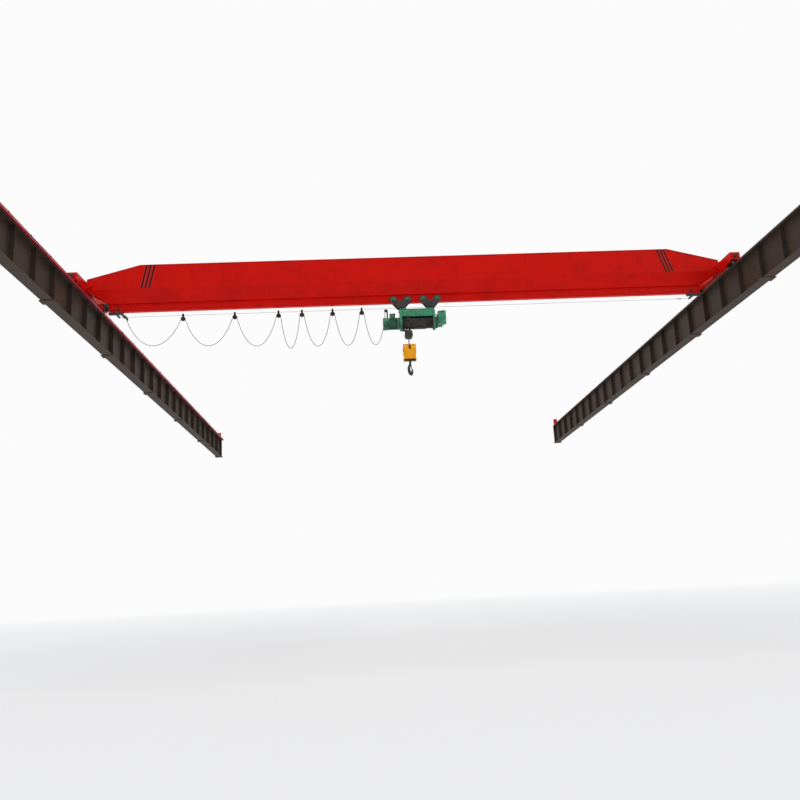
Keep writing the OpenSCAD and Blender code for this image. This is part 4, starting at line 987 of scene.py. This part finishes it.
for end in ("left_front", "left_back", "right_front", "right_back"):
    wheel_low, wheel_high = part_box("wheel_" + end)
    at = tuple((wheel_low[i] + wheel_high[i]) / 2 for i in range(3))
    tread_r = (wheel_high.z - wheel_low.z) / 2 - 0.018
    tread = ring([(tread_r - 0.003, -tread_half), (tread_r + lift, 0.0005 - tread_half),
                  (tread_r + lift, tread_half - 0.0005), (tread_r - 0.003, tread_half)], at, "x", 96)
    piece(f"bridge_tread_{end}", tread, rolled_bright, "wheel_" + end, 40)
print("treads and rims on 4 trolley axles, treads on 4 bridge wheels")

# %% [markdown]
# The drum is turned with a groove for each turn of rope. Most of the rope is wound on when the
# hook is up, so about thirty turns lie in the grooves from the guide towards the gearbox. The
# drum is turned as one profile with round grooves, and the rope is a tube whose section has six
# lobes that twist along it, which gives real strands at little cost.

# %% Grooved drum with its rope
def round_drum(x, r, a, rise=0.0):
    # a place at a radius and an angle round the drum's axis, or round one that lies above it
    return Vector((x, crane_y + r * math.cos(a), drum_z + rise + r * math.sin(a)))


groove_pitch = 0.0185
drum_profile = [(0.0, drum_low.x + 0.060), (drum_r + 0.014, drum_low.x + 0.060),
                (drum_r + 0.014, drum_low.x + 0.074), (drum_r + 0.001, drum_low.x + 0.078)]
x = drum_low.x + 0.080
while x < drum_high.x - 0.080 - groove_pitch:
    for k in range(6):
        u = k / 6
        drum_profile.append((drum_r - 0.0035 * math.sin(math.pi * u), x + groove_pitch * u))
    x += groove_pitch
drum_profile += [(drum_r + 0.001, drum_high.x - 0.078), (drum_r + 0.014, drum_high.x - 0.074),
                 (drum_r + 0.014, drum_high.x - 0.060), (0.0, drum_high.x - 0.060)]
drum_shape = turned(drum_profile, (0, crane_y, drum_z), "x", 72)
drum = piece("grooved_drum", drum_shape, drum_steel, "drum")
shaft = Gather()
for a, b in ((drum_low.x, drum_low.x + 0.061), (drum_high.x - 0.061, drum_high.x)):
    shaft.add(turned([(0, a), (0.045, a), (0.045, b), (0, b)], (0, crane_y, drum_z), "x", 40))
piece("drum_shaft", shaft, dark_steel, "drum")
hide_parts("rope_drum")
turns = 29
steps = 40
coil = []
wound_r = drum_r + rope_d / 2
for k in range(turns * steps + 1):
    a = 2 * math.pi * k / steps
    # the live fall leaves the front of the drum, so the rope starts there
    x = fall_x + groove_pitch * k / steps
    coil.append(Vector((x, crane_y - wound_r * math.cos(a), drum_z + wound_r * math.sin(a))))
strand_twist = 2 * math.pi / 0.110
wound = tube(coil, rope_d / 2, 12, 6, strand_twist)
piece("rope_on_drum", wound, rope_wire, "drum", 60)
print("rope turns", turns, "drum faces", len(drum.data.polygons))

# %% [markdown]
# Two falls of rope carry the hook block: one runs from the drum, the other from its anchor. They
# are taut, so they are straight tubes with twisted lobes. They run between the hoist and the
# block, and a half turn of rope lies under the sheave.

# %% Rope falls and the turn round the sheave
anchor_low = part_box("rope_anchor")[0]
rope_falls = Gather()
for side, top in ((-1, drum_z), (1, anchor_low.z)):
    n = 130
    y = crane_y + side * fall_r
    line = [Vector((fall_x, y, sheave_z + (top - sheave_z) * k / n)) for k in range(n + 1)]
    rope_falls.add(tube(line, rope_d / 2, 24, 6, strand_twist))
falls = piece("rope_falls_laid", rope_falls, rope_wire, None, 60)
anchor_low.z + 0.02
sheave_z + 0.03
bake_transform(falls)
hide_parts("rope_falls")
under = [Vector((fall_x, crane_y + fall_r * math.cos(a), sheave_z + fall_r * math.sin(a)))
         for a in (math.pi + math.pi * k / 60 for k in range(61))]
half_turn = tube(under, rope_d / 2 - 0.0002, 20, 6, strand_twist)
piece("rope_round_sheave", half_turn, rope_wire, "hook_block", 60)
print("falls from", round(sheave_z, 3), "to", round(drum_z, 3))

# %% [markdown]
# The hoist has small things that catch the eye up close: the fan grille on the motor, the bolts
# of its frames and gear case, and the hinges, locks and glands of the control box.
# Each sits on the solid's own face, at a place that follows from the solid's box.

# %% Motor grille
grille = Gather()
grille_r = 0.155
face_x = motor_low.x
grille_rings, grille_spokes = 7, 8
# a near-black disc on the motor's end face, under the grille, is painted shade for the shaded inside of the
# fan cowl
back = [(0, -0.0005), (grille_r, -0.0005), (grille_r + 0.004, 0.001), (grille_r + 0.004, 0.002), (0, 0.002)]
back = turned(back, (face_x, crane_y, drum_z), "x", 64)
piece("painted_shade_behind_grille", back, cowl_painted_shade, "hoist")
for n in range(1, grille_rings + 1):
    r = grille_r * n / grille_rings
    circle = [round_drum(face_x + 0.0005, r, 2 * math.pi * k / 64) for k in range(65)]
    grille.add(tube(circle, 0.0024, 6))
for k in range(grille_spokes):
    a = 2 * math.pi / grille_spokes * k + 0.2
    grille.add(tube([round_drum(face_x + 0.0008, r, a) for r in (0.022, grille_r)], 0.003, 6))
cap = [(0, -0.004), (0.024, -0.003), (0.028, 0.002), (0, 0.002)]
grille.add(turned(cap, (face_x, crane_y, drum_z), "x", 32))
piece("motor_grille", grille, hoist_enamel, "hoist", 50)
print("grille rings", grille_rings, "spokes", grille_spokes)

# %% Hoist bolts
hoist_bolts = Gather()
frames_low, frames_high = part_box("hoist_end_frames")
flange_bolt_r = 0.166
for k in range(8):
    a = math.pi / 8 + math.pi / 4 * k
    for x, way in ((frames_low.x + 0.016, 1), (frames_high.x - 0.016, -1)):
        hoist_bolts.add(bolt(round_drum(x, flange_bolt_r, a), "x", 0.019, way))
gear_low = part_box("gearbox")[0]
gear_r, gear_rise, gear_top_r, rim_in = 0.158, 0.130, 0.104, 0.009
low_arc = [(gear_r - rim_in, math.pi * (0.98 + 1.04 * k / 8), 0.0) for k in range(9)]
top_arc = [(gear_top_r - rim_in, math.pi * (0.1 + 0.8 * k / 5), gear_rise) for k in range(6)]
for r, a, rise in low_arc + top_arc:
    for x in (gear_low.x + 0.018, gear_low.x + 0.148):
        hoist_bolts.add(bolt(round_drum(x, r, a, rise), "x", 0.011, 1, washer=False))
casing_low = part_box("hoist_casing")[0]
casing_half = 0.200
for x in (-0.415, -0.200, 0.200, 0.460):
    for z in (casing_low.z + 0.025, casing_low.z + 0.150):
        for side in (-1, 1):
            hoist_bolts.add(bolt((hoist_x + x, crane_y + side * casing_half, z), "y", 0.013, side))
for x in (motor_low.x + 0.215, motor_low.x + 0.365):
    for y in (-0.085, 0.085):
        hoist_bolts.add(bolt((x, crane_y + y, motor_high.z), "z", 0.012, 1, 0.008, False))
piece("hoist_bolts", hoist_bolts, bolt_steel, "hoist")
print("hoist bolt faces", len(hoist_bolts.faces))

# %% Control box: hinges, locks and glands
fittings = Gather()
box_x0, box_x1 = box_high.x - 0.239, box_high.x - 0.004
door_y = box_low.y + 0.004
box_mid_y = box_high.y - 0.088
for z in (box_low.z + 0.075, box_high.z - 0.095):
    hinge = [Vector((box_x0 + 0.012, door_y - 0.003, z + dz))
             for dz in (-0.022, -0.0075, -0.0074, 0.0074, 0.0075, 0.022)]
    fittings.add(tube(hinge, [0.007, 0.007, 0.006, 0.006, 0.007, 0.007], 12))
    lock = [(0, 0), (0.014, 0), (0.014, 0.0025), (0.010, 0.0038), (0, 0.0038)]
    fittings.add(turned(lock, (box_x1 - 0.028, door_y, z), "y", 24, -1))
first_gland, gland_pitch = box_x0 + 0.045, 0.048
gland = [(0, 0), (0.014, 0), (0.014, 0.012), (0.010, 0.013), (0.010, 0.026), (0.006, 0.028), (0, 0.028)]
for k in range(4):
    x = first_gland + gland_pitch * k
    fittings.add(turned(gland, (x, box_mid_y, box_low.z), "z", 20, -1))
    if k % 2:
        fittings.add(turned(gland, (x, box_mid_y + 0.030, box_high.z), "z", 20))
piece("box_fittings", fittings, zinc, "hoist")
print("control box fitted")

# %% [markdown]
# Wires leave the control box through bent steel pipes, which are stiff and don't hang. Two rise
# from the box's lid, turn back over the gear case and drop into its top. Each is a tube along a
# line with round bends, and ends in a nut where it enters the case.

# %% Pipes between the box and the gear case
pipes = Gather()


def bent(points, soft=0.028, turns=7):
    # straight runs joined by round bends
    points = [Vector(p) for p in points]
    line = [points[0]]
    for a, b, c in zip(points, points[1:], points[2:]):
        u, v = (a - b).normalized(), (c - b).normalized()
        for k in range(turns + 1):
            t = k / turns
            line.append((1 - t) ** 2 * (b + u * soft) + 2 * (1 - t) * t * b + t * t * (b + v * soft))
    line.append(points[-1])
    return line


pipe_r = 0.0065
body_top_r = gear_top_r - 0.014
for k, foot_y, case_x in ((1, -0.048, 0.045), (3, -0.018, 0.106)):
    x, y = first_gland + gland_pitch * k, box_mid_y + 0.030
    x_case = gear_low.x + case_x
    case_top = drum_z + gear_rise + math.sqrt(body_top_r**2 - foot_y**2)
    over = box_high.z + 0.055 + 0.012 * k
    y_case = crane_y + foot_y
    route = [(x, y, box_high.z + 0.026), (x, y, over), (x, y + 0.075, over),
             (x_case, y_case, over), (x_case, y_case, case_top - 0.020)]
    pipes.add(tube(bent(route), pipe_r, 14))
    pipes.add(bolt((x_case, y_case, case_top - 0.004), "z", 0.024, 1, 0.016, False))
piece("hoist_pipes", pipes, zinc, "hoist", 50)
print("pipes", 2)

# %% [markdown]
# The festoon's wire is kept taut by a tensioner near its right end, where no cable carrier runs: a
# barrel with a threaded rod and a lock nut at each end, turned here as one closed profile.

# %% Wire tensioner
wire_z = (wire_low.z + wire_high.z) / 2
barrel_x = wire_high.x - 0.420
half_barrel = [(0, 0), (0.006, 0), (0.006, 0.050), (0.0115, 0.051), (0.0115, 0.058),
               (0.008, 0.059), (0.008, 0.062), (0.0125, 0.066), (0.0140, 0.072)]
barrel = half_barrel + [(r, 0.240 - h) for r, h in reversed(half_barrel)]
tensioner = turned(barrel, (barrel_x, wire_y, wire_z), "x", 32)
piece("wire_tensioner", tensioner, zinc, "bridge", 30)
print("tensioner at", round(barrel_x, 3))

# %% [markdown]
# The forged hook is the part that is looked at first: a round shank that swings out into a bowl
# whose section grows to a rounded wedge, thick inside and slim outside, and thins to the tip.
# It follows the same centre line as the solid but with many more rings, so light glides over it.

# %% Centre line of the hook
hook_z = sheave_z - 0.600
hook_turn = math.radians(60)
hook_r = 0.118
shank_r = 0.034
bar_r = 0.040
neck_top = 0.225
shank_top = block_low.z + 0.121 - hook_z
nut_foot = shank_top - 0.030


def bezier(p, t):
    return (1 - t) ** 3 * p[0] + 3 * (1 - t) ** 2 * t * p[1] + 3 * (1 - t) * t * t * p[2] + t**3 * p[3]


neck = [Vector(v) for v in ((0, 0, neck_top), (0, 0, 0.125), (-hook_r, 0, 0.100), (-hook_r, 0, 0))]
path, radii, flare = [Vector((0, 0, nut_foot))], [shank_r], [0.0]
neck_rings, bowl_rings = 26, 84
for i in range(neck_rings):
    t = i / neck_rings
    ease = t * t * (3 - 2 * t)
    path.append(bezier(neck, t))
    radii.append(shank_r + (bar_r - shank_r) * ease)
    flare.append(0.2 * ease)
for i in range(bowl_rings + 1):
    u = i / bowl_rings
    a = math.pi + math.radians(207) * u
    path.append(hook_r * Vector((math.cos(a), 0, math.sin(a))))
    if u < 0.45:
        radii.append(bar_r + 0.006 * math.sin(math.radians(200 * u)))
    else:
        radii.append(max(0.015, (bar_r + 0.006) * math.cos(math.radians(126 * (u - 0.45)))))
    flare.append(0.2)
# the tip ends in a round nose
nose = (path[-1] - path[-2]).normalized()
tip, tip_r = path[-1], radii[-1]
for k in range(1, 7):
    a = math.pi / 2 * k / 6
    path.append(tip + nose * 0.012 * math.sin(a))
    radii.append(max(0.001, tip_r * math.cos(a)))
    flare.append(0.2)
print("hook line points", len(path))

# %% Skin of the hook
around = 36
points, faces = [], []
for i, p in enumerate(path):
    d = (path[min(i + 1, len(path) - 1)] - path[max(i - 1, 0)]).normalized()
    across = Vector((-d.z, 0, d.x))
    for k in range(around):
        c, s = math.cos(2 * math.pi * k / around), math.sin(2 * math.pi * k / around)
        reach = (1 + flare[i] / 2) * c * across + (1 + flare[i] * c) * s * Vector((0, 1, 0))
        points.append(p + radii[i] * reach)
for i in range(len(path) - 1):
    for k in range(around):
        a, b = i * around + k, i * around + (k + 1) % around
        faces.append([a, b, b + around, a + around])
faces.append(list(range(around - 1, -1, -1)))
faces.append([(len(path) - 1) * around + k for k in range(around)])
hook_shape = Gather()
hook_shape.add((points, faces))
print("hook skin faces", len(faces))

# %% Nut and latch ears
nut_r = 0.0498
nut = [(0, nut_foot), (nut_r, nut_foot), (nut_r, shank_top - 0.006), (0.046, shank_top), (0, shank_top)]
hook_shape.add(turned(nut, (0, 0, 0), "z", 36))
ear = [(-0.004, 0.139), (0.042, 0.139), (0.0498, 0.1422), (0.053, 0.150),
       (0.0498, 0.1578), (0.042, 0.161), (-0.004, 0.161)]
for y in (-0.024, 0.016):
    hook_shape.add(plate([Vector((x, y, z)) for x, z in ear], 0.008, (0, 1, 0)))
turn = Matrix.Translation((fall_x, crane_y, hook_z)) @ Matrix.Rotation(hook_turn, 4, "Z")
hook_points = [turn @ p for p in hook_shape.points]
hook = piece("forged_hook", (hook_points, hook_shape.faces), forging, "hook", 48)
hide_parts("hook")
print("hook faces", len(hook_shape.faces))

# %% Latch spring and rivet
latch_turn = turn @ Matrix.Translation((0.042, 0, 0.150)) @ Matrix.Rotation(math.radians(-23), 4, "Y")
spring_r, spring_turns, spring_w = 0.0125, 5, 0.022
spring = []
for k in range(16 * spring_turns + 1):
    a = 2 * math.pi * k / 16
    y = spring_w * (a / (2 * math.pi * spring_turns) - 0.5)
    spring.append(latch_turn @ Vector((spring_r * math.cos(a), y, spring_r * math.sin(a))))
piece("latch_spring", tube(spring, 0.0016, 8), zinc, "latch", 60)
print("latch spring turns", spring_turns)

# %% [markdown]
# The hook block's cheeks are bolted through spacers. A keeper plate on each side holds the sheave
# pin, and two small screws hold the keeper plate. They sit on the solid's own faces.

# %% Hook block hardware
block_bolts = Gather()
cheek_x = 0.180
cheek_bolts = ((0.150, -0.060), (0.120, 0.120), (0.070, -0.285))
for side in (-1, 1):
    x = fall_x + side * cheek_x
    for dy, dz in cheek_bolts:
        for y in (crane_y - dy, crane_y + dy):
            block_bolts.add(bolt((x, y, sheave_z + dz), "x", 0.024, side))
    low = (min(x + side * 0.008, x + side * 0.014), crane_y - 0.040, sheave_z + 0.0305)
    high = (max(x + side * 0.008, x + side * 0.014), crane_y + 0.040, sheave_z + 0.049)
    block_bolts.add(block(low, high, 0.001))
    for dy in (-0.028, 0.028):
        at = (x + side * 0.014, crane_y + dy, sheave_z + 0.040)
        block_bolts.add(bolt(at, "x", 0.009, side, washer=False))
piece("block_bolts", block_bolts, bolt_steel, "hook_block")

# %% [markdown]
# Last come the sizes. The solids' box and the dressed model's box are printed side by side,
# since dressing must never make the crane larger than its solids.

# %% Print the sizes and finish
dressed_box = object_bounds()
sizes = {
    "cad": [[round(v, 5) for v in corner_point] for corner_point in cad_box],
    "visual": [[round(v, 5) for v in corner_point] for corner_point in dressed_box],
}
print("sizes", sizes)
